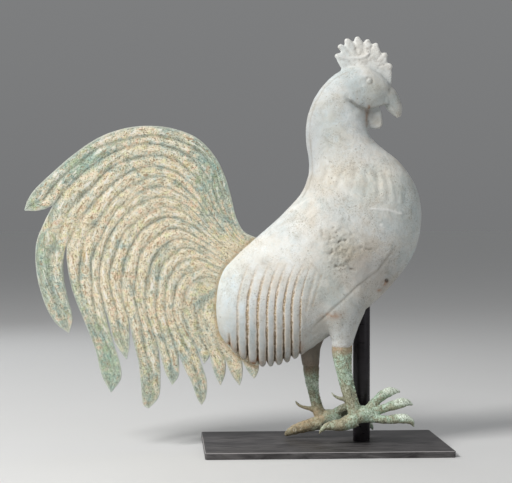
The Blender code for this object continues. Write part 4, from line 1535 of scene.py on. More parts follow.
        # Painted shade, with some soot, on the far thigh, which lies in the shadow under the body.
        far_thigh = (skin.y > 2) & (skin.true_x > -16.5) & (skin.true_x < -8.5) & (skin.height < 25)
        shading_and_tone[far_thigh] *= self.soot_and_shade
        return shading_and_tone

    def carve(self, mesh: Mesh) -> None:
        """Lays all the carving on the body's skin and stores its stains, painted shade and highlights, and
        its shading. The thighs' ends stay flat.

        Args:
            mesh: the body's skin, in place.
        """
        skin = Relief(positions(mesh))
        out = normals(mesh)
        self.carve_flutes(skin, mesh)
        self.carve_wing(skin)
        self.carve_neck(skin)
        self.carve_head(skin)
        self.carve_comb(skin)
        self.wear(skin)
        right_end = (skin.height < 23.9) & (np.abs(skin.true_x + 5.7) < 4)
        left_end = (skin.height < 18.4) & (skin.true_x > -16)
        lift = np.where(right_end | left_end, 0, skin.lift)
        moved = skin.points + out * lift[:, None]
        moved[:, 2] += skin.rise
        set_positions(mesh, moved)
        for stain, amount in skin.stains.items():
            mark(mesh, stain.value, np.clip(amount, 0, 1))
        tint(mesh, "shading_and_tone", self.shading_and_tone(skin))

    def build(self) -> Thing:
        """Makes the body and dresses it.

        Returns:
            The finished body.
        """
        forms = [self.shell(), self.thigh(self.right_thigh, Side.RIGHT),
                 self.thigh(self.left_thigh, Side.LEFT), self.beak_form(),
                 flat_form("comb", self.comb_outline(), self.comb_half_thickness),
                 flat_form("wattle", self.wattle, self.wattle_half_thickness),
                 self.eye_form(Side.RIGHT), self.eye_form(Side.LEFT)]
        made = remeshed("cast_body", joined("cast_body", forms), self.voxel, 5)
        self.melt_thighs(made)
        made.data.shade_smooth()
        self.carve(made.data)
        made.data.materials.clear()
        made.data.materials.append(WeatheredZinc().make())
        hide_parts("cockerel_body")
        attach(made, "root")
        return made


@dataclass
class TailSheet:
    """The ribbed sheet tail with its eleven free feather ends."""

    rib_lines: tuple[Line, ...] = (
        ((-26.2, 50.4), (-27.6, 50.95), (-29.1, 51.7), (-30.4, 53.3), (-31.6, 56.3), (-32.5, 60.2),
         (-34.0, 65.4), (-36.6, 70.6), (-41.0, 75.0), (-47.0, 77.3), (-53.0, 77.9), (-59.0, 77.2),
         (-65.0, 75.0), (-71.0, 71.0), (-76.0, 66.7), (-79.6, 63.4)),
        ((-26.2, 48.6), (-30.2, 50.4), (-34.6, 56.5), (-37.6, 64.0), (-42.0, 69.8), (-47.5, 72.8),
         (-53.5, 73.5), (-59.5, 72.2), (-65.5, 68.9), (-71.4, 64.1), (-76.2, 58.5)),
        ((-26.2, 46.7), (-31.4, 49.2), (-36.8, 55.3), (-40.8, 61.8), (-45.5, 66.2), (-50.5, 67.9),
         (-55.8, 67.2), (-61.0, 64.2), (-66.2, 59.2), (-70.3, 54.0), (-72.9, 48.9)),
        ((-26.2, 44.9), (-32.2, 47.8), (-38.2, 53.2), (-43.2, 58.2), (-48.2, 60.4), (-53.4, 59.8),
         (-58.4, 56.4), (-62.2, 51.2), (-64.5, 45.0), (-64.9, 39.0), (-63.7, 33.4)),
        ((-26.2, 43.1), (-32.6, 46.0), (-39.4, 51.3), (-44.6, 54.8), (-49.6, 55.2), (-54.4, 52.2),
         (-57.9, 47.0), (-59.4, 41.0), (-59.2, 35.4), (-57.7, 30.3)),
        ((-26.2, 41.3), (-33.2, 44.2), (-39.8, 48.4), (-44.8, 50.2), (-49.0, 48.6), (-52.2, 44.0),
         (-53.5, 38.0), (-53.0, 31.2), (-50.8, 24.8)),
        ((-26.2, 39.4), (-33.6, 42.0), (-39.6, 44.8), (-44.0, 44.8), (-47.3, 41.6), (-48.8, 36.2),
         (-48.2, 29.2), (-45.6, 22.0)),
        ((-26.2, 37.2), (-33.6, 39.4), (-39.2, 40.8), (-42.9, 38.8), (-44.5, 34.6), (-43.9, 29.4),
         (-41.3, 24.1)),
        ((-26.2, 34.6), (-33.2, 36.2), (-38.2, 35.8), (-40.7, 32.6), (-40.9, 28.8), (-39.7, 25.0),
         (-37.8, 21.4)),
        ((-26.2, 31.4), (-31.4, 31.8), (-34.8, 30.2), (-36.2, 27.2), (-35.6, 23.6), (-33.9, 20.1)),
        ((-26.2, 28.0), (-28.6, 27.4), (-30.4, 25.2), (-30.6, 22.6), (-29.8, 20.0)),
        ((-26.0, 25.0), (-25.8, 22.6), (-25.7, 20.2)),
    )
    free_feathers: tuple[tuple[Line, Point, Line], ...] = (
        (((-81.2, 61.6), (-82.5, 59.4)), (-83.05, 57.3), ((-78.0, 57.6), (-80.4, 57.1))),
        (((-78.6, 53.8), (-80.4, 48.6), (-80.2, 41.5), (-78.3, 34.4), (-75.6, 29.6)), (-72.4, 27.2),
         ((-73.6, 45.0), (-73.5, 40.0), (-72.4, 35.0), (-71.5, 30.6))),
        (((-72.8, 44.4), (-71.4, 37.2), (-68.2, 29.0), (-65.9, 22.8), (-64.5, 17.0)), (-62.1, 12.5),
         ((-62.9, 29.4), (-61.4, 24.2), (-60.0, 19.8), (-59.7, 15.9))),
        (((-62.6, 29.9), (-61.3, 25.0)), (-58.3, 20.7), ((-57.6, 27.2), (-57.6, 24.0))),
        (((-56.8, 25.6), (-55.4, 19.8), (-54.8, 14.0), (-54.3, 9.6)), (-52.9, 8.5),
         ((-50.3, 21.4), (-50.0, 16.4), (-50.4, 11.4))),
        (((-50.0, 21.6), (-48.9, 17.6)), (-47.1, 14.3), ((-45.4, 19.0), (-45.6, 16.3))),
        (((-44.2, 18.6), (-42.4, 14.8), (-41.0, 11.0)), (-39.9, 9.3),
         ((-40.2, 20.2), (-38.6, 15.2), (-38.8, 11.2))),
        (((-40.4, 21.6),), (-39.2, 19.5), ((-38.5, 20.2),)),
        (((-37.4, 19.2), (-36.5, 16.4)), (-35.2, 14.1), ((-33.9, 18.2), (-34.2, 16.2))),
        (((-33.0, 17.7), (-31.8, 15.6)), (-30.5, 14.1), ((-29.7, 18.0), (-29.9, 15.7))),
        (((-29.0, 18.4), (-27.8, 16.6)), (-26.9, 15.8), ((-25.7, 18.2), (-26.2, 16.6))),
    )
    ribs: tuple[int, ...] = (2, 2, 3, 2, 2, 2, 2, 1, 1, 1, 1)
    coolness: tuple[float, ...] = (0.30, 0.12)
    jade_spots: Rows = (
        (-62.5, 20.5, 3.6, 6.5, 0.95), (-70.5, 68.0, 4.5, 2.6, 0.8), (-66.0, 70.5, 3.0, 2.2, 0.5),
        (-79.2, 47.0, 2.2, 8.0, 0.6), (-37.5, 66.5, 3.5, 6.5, 0.45), (-71.0, 35.0, 3.0, 4.0, 0.35),
        (-80.8, 58.6, 2.6, 2.4, 0.5), (-71.0, 60.0, 5.0, 4.5, -0.9), (-52.0, 76.2, 8.0, 2.6, -0.8))
    sheet_thickness: float = 0.0026
    rib_height: float = 0.0018
    rim_height: float = 0.0004
    rim_width: float = 0.0022
    rooted_rows: int = 150
    free_rows: int = 44
    faces_per_rib: int = 10

    def strip(self, number: int) -> dict[str, Array]:
        """One feather's stretch of the sheet as a grid of points, with what they carry.

        Args:
            number: which feather, counted from the topmost one.

        Returns:
            The points' drawing places, and their rib height, length along, ribs across and coolness.
        """
        ribs = self.ribs[number]
        outer_free, tip, inner_free = self.free_feathers[number]
        free_shares = 1 - (1 - np.linspace(0, 1, self.free_rows + 1)[1:]) ** 1.5
        edges = []
        for line, free in ((self.rib_lines[number], outer_free), (self.rib_lines[number + 1], inner_free)):
            rooted = curve_through(line, np.linspace(0, 1, self.rooted_rows))
            edges.append(np.vstack([rooted, curve_through([line[-1], *free, tip], free_shares)]))
        rows = len(edges[0])
        shares = np.linspace(0, 1, self.faces_per_rib * ribs + 1)
        gap = np.abs(2 * ((shares * ribs) % 1.0) - 1)
        gap[-1] = 1.0
        crest = 0.5 * (2 * np.sqrt(np.maximum(0, 1 - gap**2)) - 1) + 0.5 * np.cos(math.pi * gap)
        sway = np.sin(np.linspace(0, 17, rows) + 2.3 * number) + np.sin(np.linspace(0, 41, rows) + number)
        wavy = shares[None] + 0.035 * sway[:, None] * np.sin(math.pi * shares)[None] ** 2
        loose = np.clip((np.arange(rows) - self.rooted_rows) / self.free_rows, 0, 1)
        bound = (1 - 0.72 * smoothstep(0.0, 0.45, loose)) * (1 - smoothstep(0.8, 1.0, loose))
        outer, inner = (travelled(edge)[:, None] for edge in edges)
        cooler = self.coolness[number] if number < len(self.coolness) else 0.0
        return {
            "place": edges[0][:, None] + (edges[1] - edges[0])[:, None] * wavy[:, :, None],
            "rib": crest[None, :] * bound[:, None],
            "along": (outer * (1 - shares) + inner * shares) * UNIT,
            "across": np.tile(sum(self.ribs[:number]) + shares * ribs, (rows, 1)),
            "green": np.repeat((cooler + 0.34 * smoothstep(0.0, 0.35, loose))[:, None], len(shares), axis=1),
        }

    def flat_sheet(self, outline: Array) -> Mesh:
        """The sheet before it is embossed, with its rib and rim heights stored on it.

        Args:
            outline: the body's side outline.

        Returns:
            The flat mesh in the bird's middle plane.
        """
        strips = [self.strip(number) for number in range(len(self.ribs))]
        faces: list[list[int]] = []
        base = 0
        for strip in strips:
            corners = base + np.arange(strip["rib"].size).reshape(strip["rib"].shape)
            squares = (corners[:-1, :-1], corners[:-1, 1:], corners[1:, 1:], corners[1:, :-1])
            faces += np.stack(squares, axis=-1).reshape(-1, 4).tolist()
            base += corners.size
        flat = np.vstack([strip["place"].reshape(-1, 2) for strip in strips])
        world = placed(np.column_stack([flat[:, 0], np.zeros(len(flat)), flat[:, 1]]))
        made = bpy.data.meshes.new("tail")
        made.from_pydata([tuple(point) for point in world], [], faces)
        carried = {name: np.concatenate([strip[name].ravel() for strip in strips])
                   for name in ("rib", "along", "across", "green")}
        self.store_marks(made, flat, carried, outline)
        tidy_faces(made, merge=0.00003)
        self.store_rim(made)
        return made

    def store_marks(self, mesh: Mesh, flat: Array, carried: dict[str, Array],
                    outline: Array) -> None:
        """Stores what the embossing and the finish read from the sheet.

        Args:
            mesh: the sheet's strips.
            flat: the points' drawing places.
            carried: what the strips' points carry.
            outline: the body's side outline.
        """
        x, z = flat.T
        apart, _, _ = distance_to_line(x, z, outline, closed=True)
        apart = np.where(self.inside(flat, outline), 0, apart)
        fade = smoothstep(0.1, 1.6, apart) * (0.72 + 0.55 * cloud(positions(mesh), 0.07, 2, 4.4))
        fade *= 0.45 + 0.55 * smoothstep(6, 30, np.hypot(x + 30, 0.8 * (z - 36)))
        jade = sum(share * np.exp(-((x - at_x) / wide) ** 2 - ((z - at_z) / tall) ** 2)
                   for at_x, at_z, wide, tall, share in self.jade_spots)
        low = smoothstep(-24, -10, -z)
        upright = smoothstep(-46, -34, x) * smoothstep(48, 56, z)
        mark(mesh, "rib", carried["rib"] * np.clip(fade, 0.0, 1.15))
        mark(mesh, "along", carried["along"])
        mark(mesh, "across", carried["across"])
        mark(mesh, "jade", np.clip(jade, 0, 1))
        mark(mesh, "green", carried["green"] + 0.06 * low + 0.34 * upright + 0.25 * jade)
        # Rust along the body's edge, with a painted shadow line where the sheet meets the body.
        mark(mesh, "rust", 0.55 * hump(apart - 0.2, 0.55) * (apart > 0))

    def store_rim(self, mesh: Mesh) -> None:
        """Stores how near each point lies to the sheet's edge.

        Args:
            mesh: the joined sheet.
        """
        edge_of = np.array([tuple(edge.vertices) for edge in mesh.edges])
        counts = np.zeros(len(mesh.edges), int)
        loops = np.empty(len(mesh.loops), int)
        mesh.loops.foreach_get("edge_index", loops)
        np.add.at(counts, loops, 1)
        border = np.unique(edge_of[counts == 1])
        flat = positions(mesh)[:, [0, 2]]
        held = flat[border]
        gaps = np.empty(len(flat))
        block = 2000
        for start in range(0, len(flat), block):
            some = flat[start:start + block]
            gaps[start:start + block] = np.sqrt(((some[:, None] - held[None]) ** 2).sum(2).min(1))
        mark(mesh, "rim", hump(gaps, self.rim_width))

    def inside(self, flat: Array, outline: Array) -> Array:
        """Which points lie inside the body's side outline.

        Args:
            flat: the points' drawing places.
            outline: the outline's corners.

        Returns:
            True or false for each point.
        """
        ends = np.roll(outline, -1, axis=0)
        found = np.zeros(len(flat), bool)
        for (x0, z0), (x1, z1) in zip(outline, ends):
            if z0 == z1:
                continue
            crosses = (z0 > flat[:, 1]) != (z1 > flat[:, 1])
            reach = x0 + (flat[:, 1] - z0) * (x1 - x0) / (z1 - z0)
            found ^= crosses & (flat[:, 0] < reach)
        return found

    def embossing(self) -> bpy.types.NodeTree:
        """The node tree that raises the ribs and the rim from the flat sheet.

        Returns:
            The tree.
        """
        tree = ShapeTree("emboss_tail", ["Rib Height", "Rim Height"])
        total = tree.plus(tree.times(tree.carried("rib"), tree.given["Rib Height"]),
                          tree.times(tree.carried("rim"), tree.given["Rim Height"]))
        offset = tree.add("ShaderNodeCombineXYZ", {"Y": tree.times(total, -0.5)})
        moved = tree.add("GeometryNodeSetPosition", {
            "Geometry": tree.given["Geometry"], "Offset": offset.outputs["Vector"]})
        return tree.finish(moved.outputs["Geometry"])

    def build(self, outline: Array) -> Thing:
        """Makes the tail and dresses it.

        Args:
            outline: the body's side outline.

        Returns:
            The finished tail.
        """
        material = GildedCopper().make()
        made = link("tail", self.flat_sheet(outline))
        emboss = made.modifiers.new("emboss", "NODES")
        emboss.node_group = self.embossing()
        sizes = {"Rib Height": self.rib_height, "Rim Height": self.rim_height}
        set_inputs(emboss, {**sizes, "Material": material})
        wall = made.modifiers.new("wall", "SOLIDIFY")
        wall.thickness = self.sheet_thickness
        wall.offset = 0
        settled(made)
        made.data.shade_smooth()
        if not made.data.materials:
            made.data.materials.append(material)
        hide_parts("tail_sheet")
        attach(made, "root")
        return made


@dataclass
class Leg:
    """One cast leg with its palm, spur and four toes."""

    name: str
    node: str
    side: Side
    shank: Rows
    back: float = 0.0
    down: float = 0.0
    spur_shift: Point = (0.0, 0.0)
    droops: tuple[float, float, float] = (0.0, 0.0, 0.0)
    # How much soot and painted shade the leg carries, from 0 to 1.
    soot_and_shade: float = 0.0
    spread: float = 5.0
    palm: Rows = (
        (-3.4, 6.6, 0, 1.5), (-2.3, 7.0, 0, 2.0), (-0.76, 7.35, 0, 2.1), (1.2, 7.3, 0, 2.0),
        (2.6, 7.3, 0.1, 1.5))
    back_toe: Rows = (
        (-2.4, 6.2, 0, 1.9), (-4.0, 5.4, 0, 1.75), (-5.8, 4.8, 0, 1.5), (-7.65, 4.6, 0, 1.25),
        (-9.4, 4.4, 0.1, 0.95), (-10.6, 3.7, 0.1, 0.55), (-11.3, 2.6, 0.1, 0.16))
    spur: Rows = (
        (-3.2, 10.4, 0, 0.75), (-4.6, 10.85, 0, 0.6), (-5.9, 11.15, 0, 0.45), (-7.0, 11.5, 0, 0.38),
        (-7.85, 12.1, 0, 0.28), (-8.3, 12.8, 0, 0.12))
    upper_toe: Rows = (
        (0.4, 8.0, -0.1, 1.3), (1.9, 9.5, -0.5, 1.15), (3.4, 10.9, -0.9, 1.10), (4.85, 12.0, -1.2, 1.18),
        (6.2, 12.6, -1.35, 1.12), (7.5, 12.75, -1.45, 0.80), (8.9, 12.5, -1.5, 0.15))
    middle_toe: Rows = (
        (0.8, 7.6, 0.0, 1.4), (3.2, 8.3, 0.3, 1.05), (5.4, 9.05, 0.5, 1.05), (7.4, 9.7, 0.7, 1.20),
        (9.1, 10.2, 0.8, 1.18), (10.4, 10.15, 0.85, 0.84), (11.65, 9.6, 0.9, 0.15))
    lower_toe: Rows = (
        (0.8, 6.75, 0.4, 1.4), (3.4, 6.25, 1.4, 1.00), (5.65, 6.3, 2.3, 1.02), (7.6, 6.6, 2.9, 1.16),
        (9.3, 6.6, 3.3, 1.14), (10.6, 5.95, 3.5, 0.80), (11.35, 4.7, 3.6, 0.15))
    reaches: tuple[tuple[str, float, float], ...] = (
        ("shank", 0.04, 0.80), ("upper_toe", 0.20, 0.66), ("middle_toe", 0.16, 0.66),
        ("lower_toe", 0.16, 0.66), ("back_toe", 0.20, 0.66))
    scute_spacing: float = 0.0062
    scute_thickness: float = 0.17
    voxel: float = 0.0010

    def limbs(self) -> dict[str, list[tuple[float, ...]]]:
        """Every limb's points in this leg's own pose.

        Returns:
            Points (x, z, out, radius) under each limb's name.
        """
        upper, middle, lower = self.droops
        plain = {"palm": (self.palm, 0.0), "back_toe": (self.back_toe, 0.0), "spur": (self.spur, 0.0),
                 "upper_toe": (self.upper_toe, upper), "middle_toe": (self.middle_toe, middle),
                 "lower_toe": (self.lower_toe, lower)}
        moved = {"shank": list(self.shank)}
        for name, (points, droop) in plain.items():
            shift_x, shift_z = self.spur_shift if name == "spur" else (0.0, 0.0)
            back, down = self.back + shift_x, self.down + shift_z
            root = points[0][0]
            moved[name] = [(x - back, z - down - droop * (x - root), *rest) for x, z, *rest in points]
        return moved

    def scute_tree(self) -> bpy.types.NodeTree:
        """The node tree that sets a low scale across the limb at even steps along each line.

        Returns:
            The tree.
        """
        tree = ShapeTree(f"scutes_{self.name}", ["Spacing", "Thickness"])
        line = tree.add("GeometryNodeMeshToCurve", {"Mesh": tree.given["Geometry"]})
        steps = tree.add("GeometryNodeResampleCurve", {
            "Curve": line.outputs["Curve"], "Length": tree.given["Spacing"]}, mode="LENGTH")
        scale = tree.add("GeometryNodeMeshUVSphere", {"Segments": 12, "Rings": 8, "Radius": 1.0})
        tangent = tree.add("GeometryNodeInputTangent", {})
        turn = tree.add("FunctionNodeAlignRotationToVector", {"Vector": tangent.outputs["Tangent"]},
                        axis="Z", pivot_axis="Y")
        girth = tree.carried("girth")
        size = tree.add("ShaderNodeCombineXYZ", {
            "X": tree.times(girth, tree.given["Thickness"]), "Y": tree.times(girth, 0.80),
            "Z": tree.times(tree.given["Spacing"], 0.42)})
        laid = tree.add("GeometryNodeInstanceOnPoints", {
            "Points": steps.outputs["Curve"], "Instance": scale.outputs["Mesh"],
            "Rotation": turn.outputs["Rotation"], "Scale": size.outputs["Vector"]})
        return tree.finish(laid.outputs["Instances"])

    def scutes(self, limbs: dict[str, list[tuple[float, ...]]], material: Material) -> Mesh:
        """Low scales down the shank's front and along the toes' tops.

        Args:
            limbs: every limb's points.
            material: the leg's finish.

        Returns:
            The scales as one plain mesh.
        """
        points: list[tuple[float, ...]] = []
        edges: list[tuple[int, int]] = []
        girths: list[float] = []
        for name, low, high in self.reaches:
            table = curve_through(limbs[name], np.linspace(low, high, 20))
            run = np.gradient(table[:, :2], axis=0)
            run /= np.linalg.norm(run, axis=1)[:, None]
            outward = np.column_stack([-run[:, 1], run[:, 0]])
            facing = outward[:, 0].sum() if name == "shank" else outward[:, 1].sum()
            if facing < 0:
                outward = -outward
            for number, (row, lean) in enumerate(zip(table, outward)):
                reach = 0.86 * row[3]
                place = np.array([row[0] + lean[0] * reach, self.side * (self.spread + row[2]),
                                  row[1] + lean[1] * reach])
                points.append(tuple(placed(place)))
                girths.append(row[3] * UNIT)
                if number:
                    edges.append((len(points) - 2, len(points) - 1))
        lines = bpy.data.meshes.new("scute_lines")
        lines.from_pydata(points, edges, [])
        mark(lines, "girth", np.array(girths))
        made = link("scutes", lines)
        step = made.modifiers.new("scutes", "NODES")
        step.node_group = self.scute_tree()
        sizes = {"Spacing": self.scute_spacing, "Thickness": self.scute_thickness}
        set_inputs(step, {**sizes, "Material": material})
        mesh = settled(made)
        bpy.data.objects.remove(made)
        return mesh

    @staticmethod
    def knuckles(shares: Array) -> Array:
        """How a toe swells at its joints and narrows to its claw.

        Args:
            shares: shares of the toe's length.

        Returns:
            A factor on its radius for each share.
        """
        joints = sum(hump(shares - at, 0.05) for at in (0.30, 0.52, 0.72))
        return 1 + 0.05 * joints - 0.05 * smoothstep(0.74, 0.80, shares)

    @staticmethod
    def cuff(shares: Array) -> Array:
        """How the shank swells a little along its length."""
        return 1 + 0.03 * np.sin(9 * shares)

    def roughen(self, mesh: Mesh) -> None:
        """Gives the skin a cast unevenness, but for its flat top.

        Args:
            mesh: the leg's skin.
        """
        points = positions(mesh)
        top = FIGURE_ORIGIN[2] + self.shank[1][1] * UNIT
        lift = 0.0005 * cloud(points, 0.010, 3, 2.2 + self.side) + 0.0002 * cloud(points, 0.004, 2, 8.1)
        lift *= smoothstep(0.0004, 0.003, top - points[:, 2])
        set_positions(mesh, points + normals(mesh) * lift[:, None])

    def store_marks(self, mesh: Mesh) -> None:
        """Stores where the leg is pale, with painted light on its upper faces, and where it is ochre, rusty,
        or sooty with painted shade.

        Args:
            mesh: the leg's finished skin.
        """
        x, _, z = drawn(positions(mesh)).T
        x = x + self.back * (z < 13)
        below_top = self.shank[0][1] - z
        upward = normals(mesh)[:, 2]
        # Painted light: paler on upward faces and on the higher toes.
        lit = 0.9 * smoothstep(7.0, 11.0, z) + 0.9 * upward
        claws = smoothstep(5.5, 9.0, x + 2.0 * smoothstep(10.5, 12.5, z)) * (z < 16)
        back_reach = smoothstep(-3.0, -7.0, x) * (z < 8.5 - self.down)
        ankle = hump(z - 8.0 + self.down, 3.0) * (1 - smoothstep(-2.5, 0.5, x))
        palm = np.exp(-((x - 0.5) / 2.6) ** 2 - ((z + self.down - 7.4) / 2.2) ** 2)
        # Painted light and shade on the far leg: lighter about its middle, darker towards the back toe and
        # all over.
        shaded = self.soot_and_shade * (0.34 * hump(z - 13.5, 2.6) - 0.10 * back_reach - 0.05)
        shank = 0.10 * hump(z - 18.0, 2.2) - 0.13 * hump(z - 11.5, 3.0) * (x < -1.2)
        roots = 0.10 * hump(x - 3.4, 1.7)
        # The claws' own paler green, raised by painted light on their upper faces.
        pale = claws * (0.24 + 0.50 * lit) + 0.16 * palm + 0.08 * upward - 0.16 * back_reach
        mark(mesh, "pale", pale + shaded + shank - roots)
        mark(mesh, "ochre", np.clip(0.24 * back_reach + self.soot_and_shade * 0.60 * ankle + 0.20 * ankle, 0, 0.9))
        mark(mesh, "rust", 0.85 * (1 - smoothstep(1.4, 3.6, below_top)))
        # Painted shade, with some soot, at the top of the far leg under the body.
        mark(mesh, "dirt", self.soot_and_shade * 0.55 * (1 - smoothstep(1.2, 4.2, below_top)))

    def build(self) -> Thing:
        """Makes the leg and dresses it.

        Returns:
            The finished leg.
        """
        material = MintVerdigris().make()
        limbs = self.limbs()
        forms = []
        for name, points in limbs.items():
            swell = self.knuckles if name.endswith("toe") else self.cuff if name == "shank" else None
            forms.append(tube(name, points, self.side, self.spread, swell))
        forms.append(self.scutes(limbs, material))
        made = remeshed(self.name, joined(self.name, forms), self.voxel, 3)
        mesh = made.data
        mesh.shade_smooth()
        self.roughen(mesh)
        self.store_marks(mesh)
        mesh.materials.clear()
        mesh.materials.append(material)
        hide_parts(self.node)
        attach(made, "root")
        return made


def right_leg() -> Leg:
    """The near leg, ahead of the other.

    Returns:
        The leg, not yet built.
    """
    return Leg("leg_right", "right_leg", Side.RIGHT, (
        (-5.78, 24.7, 0, 2.10), (-5.73, 23.7, 0, 2.46), (-5.58, 20.5, 0, 2.15), (-5.2, 17.6, 0, 1.87),
        (-4.55, 14.6, 0, 1.77), (-3.86, 12.2, 0, 1.7), (-3.2, 9.7, 0, 1.65), (-2.2, 7.7, 0, 1.75),
        (-0.76, 7.2, 0, 1.7)))


def left_leg() -> Leg:
    """The far leg, lower and farther back, with soot and painted shade on it.

    Returns:
        The leg, not yet built.
    """
    return Leg("leg_left", "left_leg", Side.LEFT, (
        (-12.2, 19.1, 0, 1.60), (-12.2, 18.1, 0, 1.95), (-12.05, 16.0, 0, 1.85), (-11.95, 14.2, 0, 1.65),
        (-11.5, 11.3, 0, 1.42), (-10.95, 8.9, 0, 1.38), (-10.4, 7.2, 0, 1.45), (-9.5, 5.4, 0, 1.6),
        (-8.06, 4.9, 0, 1.6)),
        back=7.3, down=2.3, spur_shift=(0.5, 1.2), droops=(0.35, 0.22, 0.10), soot_and_shade=1.0, back_toe=(
            (-2.4, 6.2, 0, 1.9), (-4.7, 5.6, 0, 1.6), (-7.2, 4.95, 0, 1.4), (-9.4, 4.2, 0.1, 1.15),
            (-10.7, 3.5, 0.1, 0.85), (-11.35, 2.9, 0.1, 0.40)))


@dataclass
class Stand:
    """The black steel plate and the post that holds the cockerel up."""

    plate: tuple[float, float, float] = (0.378, 0.203, 0.010)
    corner: float = 0.004
    edge: float = 0.0011
    post_diameter: float = 0.0267
    post_x: float = 0.0606
    sharp_angle: float = 40.0
    plate_finish: BlackSteel = BlackSteel("plate_black", (0.034, 0.031, 0.032), (0.150, 0.143, 0.142), 0.42)
    post_finish: BlackSteel = BlackSteel("post_black", (0.0095, 0.0070, 0.0090), (0.026, 0.022, 0.026), 0.30)

    def bevelled_plate(self) -> Mesh:
        """The plate with rounded corners and softened edges.

        Returns:
            The closed mesh, in place.
        """
        built = bmesh.new()
        bmesh.ops.create_cube(built, size=1)
        for vertex in built.verts:
            vertex.co = Vector([value * size for value, size in zip(vertex.co, self.plate)])
            vertex.co.z += self.plate[2] / 2
        upright = [edge for edge in built.edges if abs(edge.verts[0].co.z - edge.verts[1].co.z) > 0.005]
        bmesh.ops.bevel(built, geom=upright, offset=self.corner, segments=8, profile=0.5, affect="EDGES")
        level = [edge for edge in built.edges if abs(edge.verts[0].co.z - edge.verts[1].co.z) < 0.0001]
        bmesh.ops.bevel(built, geom=level, offset=self.edge, segments=3, profile=0.5, affect="EDGES")
        return baked("steel_plate", built)

    def build_plate(self) -> Thing:
        """Makes the plate and dresses it.

        Returns:
            The finished plate.
        """
        mesh = self.bevelled_plate()
        made = link("steel_plate", mesh)
        mesh.shade_smooth()
        mesh.set_sharp_from_angle(angle=math.radians(self.sharp_angle))
        x, y, z = positions(mesh).T
        rounding = self.edge * 0.9
        to_side = np.minimum(self.plate[0] / 2 - np.abs(x), self.plate[1] / 2 - np.abs(y))
        # Painted highlight, with some rubbed wear, along the plate's top edge.
        mark(mesh, "wear_and_highlight", 0.9 * (z > self.plate[2] - rounding) * (to_side < rounding))
        mesh.materials.append(self.plate_finish.make())
        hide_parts("base_plate")
        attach(made, "root")
        return made

    def build_post(self) -> Thing:
        """Makes the post as one turned form with eased ends, and dresses it.

        Returns:
            The finished post.
        """
        low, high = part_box("support_post")
        radius = self.post_diameter / 2
        profile = [(radius - 0.0006, low[2]), (radius - 0.0002, low[2] + 0.0002), (radius, low[2] + 0.0008),
                   (radius, high[2] - 0.0008), (radius - 0.0006, high[2])]
        rings = [ring_about((self.post_x, 0, z), (r, 0, 0), (0, r, 0), 96) for r, z in profile]
        mesh = mesh_from_rings("steel_post", rings)
        made = link("steel_post", mesh)
        mark(mesh, "wear_and_highlight", np.zeros(len(mesh.vertices)))
        mesh.shade_smooth()
        mesh.set_sharp_from_angle(angle=math.radians(self.sharp_angle))
        mesh.materials.append(self.post_finish.make())
        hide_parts("support_post")
        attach(made, "root")
        return made


@dataclass
class Softbox:
    """One area light."""

    name: str
    place: tuple[float, float, float]
    size: tuple[float, float]
    power: float
    colour: Colour = (1.0, 1.0, 1.0)
    aim: tuple[float, float, float] = (-0.13, 0.0, 0.30)

    def build(self) -> None:
        """Hangs the light and turns it to its aim."""
        lamp = bpy.data.lights.new(self.name, "AREA")
        lamp.shape = "RECTANGLE"
        lamp.size, lamp.size_y = self.size
        lamp.energy = self.power
        lamp.color = self.colour
        made = link(self.name, lamp)
        made.location = self.place
        made.rotation_euler = (Vector(self.aim) - Vector(self.place)).to_track_quat("-Z", "Y").to_euler()


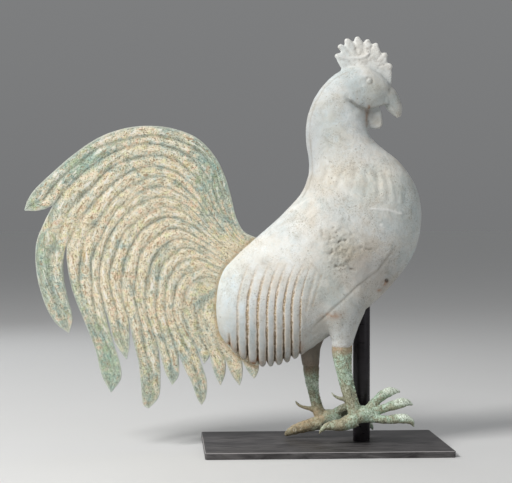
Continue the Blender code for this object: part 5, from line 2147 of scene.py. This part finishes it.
@dataclass
class Studio:
    """The floor, the lights and the camera."""

    camera_place: tuple[float, ...] = tuple(VIEWPOINT)
    yaw: float = 2.653
    pitch: float = -0.934
    roll: float = 0.064
    focal_pixels: float = 1317.4
    shift_x: float = 0.06
    floor_radius: float = 40.0
    air: Colour = (0.97, 0.985, 1.0)
    horizon: float = 0.191
    zenith: float = 0.28
    lights: tuple[Softbox, ...] = field(default_factory=lambda: (
        Softbox("key", (-2.0, -1.45, 2.3), (0.9, 0.9), 85.0, (1.0, 0.99, 0.975)),
        Softbox("fill", (1.9, -1.6, 0.9), (1.6, 1.4), 4.0, (0.93, 0.96, 1.0)),
        Softbox("top", (-0.1, 0.3, 2.2), (1.4, 1.0), 4.0),
        Softbox("back", (-1.0, 1.8, 1.3), (1.0, 1.0), 6.0, (0.95, 0.98, 1.0)),
    ))

    def build(self) -> None:
        """Sets the whole studio."""
        self.build_floor()
        for light in self.lights:
            light.build()
        self.build_world()
        self.build_camera()
        bpy.context.scene.view_settings.view_transform = "Standard"

    def build_floor(self) -> None:
        """Lays the floor."""
        built = bmesh.new()
        bmesh.ops.create_circle(built, cap_ends=True, segments=96, radius=self.floor_radius)
        floor = link("floor", baked("floor", built))
        floor.data.materials.append(StudioPaper().make())

    def build_world(self) -> None:
        """Surrounds the studio with soft grey light, a little brighter overhead."""
        world = bpy.data.worlds.new("studio")
        world.use_nodes = True
        bench = NodeBench(world.node_tree)
        sky = bench.add("ShaderNodeTexCoord", {}).outputs["Generated"]
        split = bench.add("ShaderNodeSeparateXYZ", {"Vector": sky})
        background = world.node_tree.nodes["Background"].inputs
        climb = bench.spread(split.outputs["Z"], 0.0, 0.7, self.horizon, self.zenith)
        world.node_tree.links.new(climb, background["Strength"])
        background["Color"].default_value = (*self.air, 1)
        bpy.context.scene.world = world

    def build_camera(self) -> None:
        """Places the camera at the photograph's angle."""
        data = bpy.data.cameras.new("camera")
        data.sensor_width = SENSOR_WIDTH
        data.lens = self.focal_pixels / PIXELS_WIDE * SENSOR_WIDTH
        data.shift_x = self.shift_x
        data.clip_start, data.clip_end = 0.05, 200
        made = link("camera", data)
        made.location = self.camera_place
        made.rotation_mode = "XYZ"
        made.rotation_euler = [math.radians(turn) for turn in (90 + self.pitch, self.roll, -self.yaw)]
        bpy.context.scene.camera = made


def report(piece: Thing) -> None:
    """Logs a piece's name, triangles and size.

    Args:
        piece: the finished piece.
    """
    piece.data.calc_loop_triangles()
    LOG.info("%s: %d triangles, %.0f x %.0f x %.0f mm", piece.name, len(piece.data.loop_triangles),
             *(1000 * length for length in piece.dimensions))


def main() -> None:
    """Builds the dressed object over the frame."""
    logging.basicConfig(level=logging.INFO, format="%(name)s %(message)s")
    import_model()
    body = CastBody()
    stand = Stand()
    for piece in (body.build(), TailSheet().build(body.outline()), right_leg().build(), left_leg().build(),
                  stand.build_plate(), stand.build_post()):
        report(piece)
    Studio().build()
    bpy.context.view_layer.update()


if __name__ == "__main__":
    main()
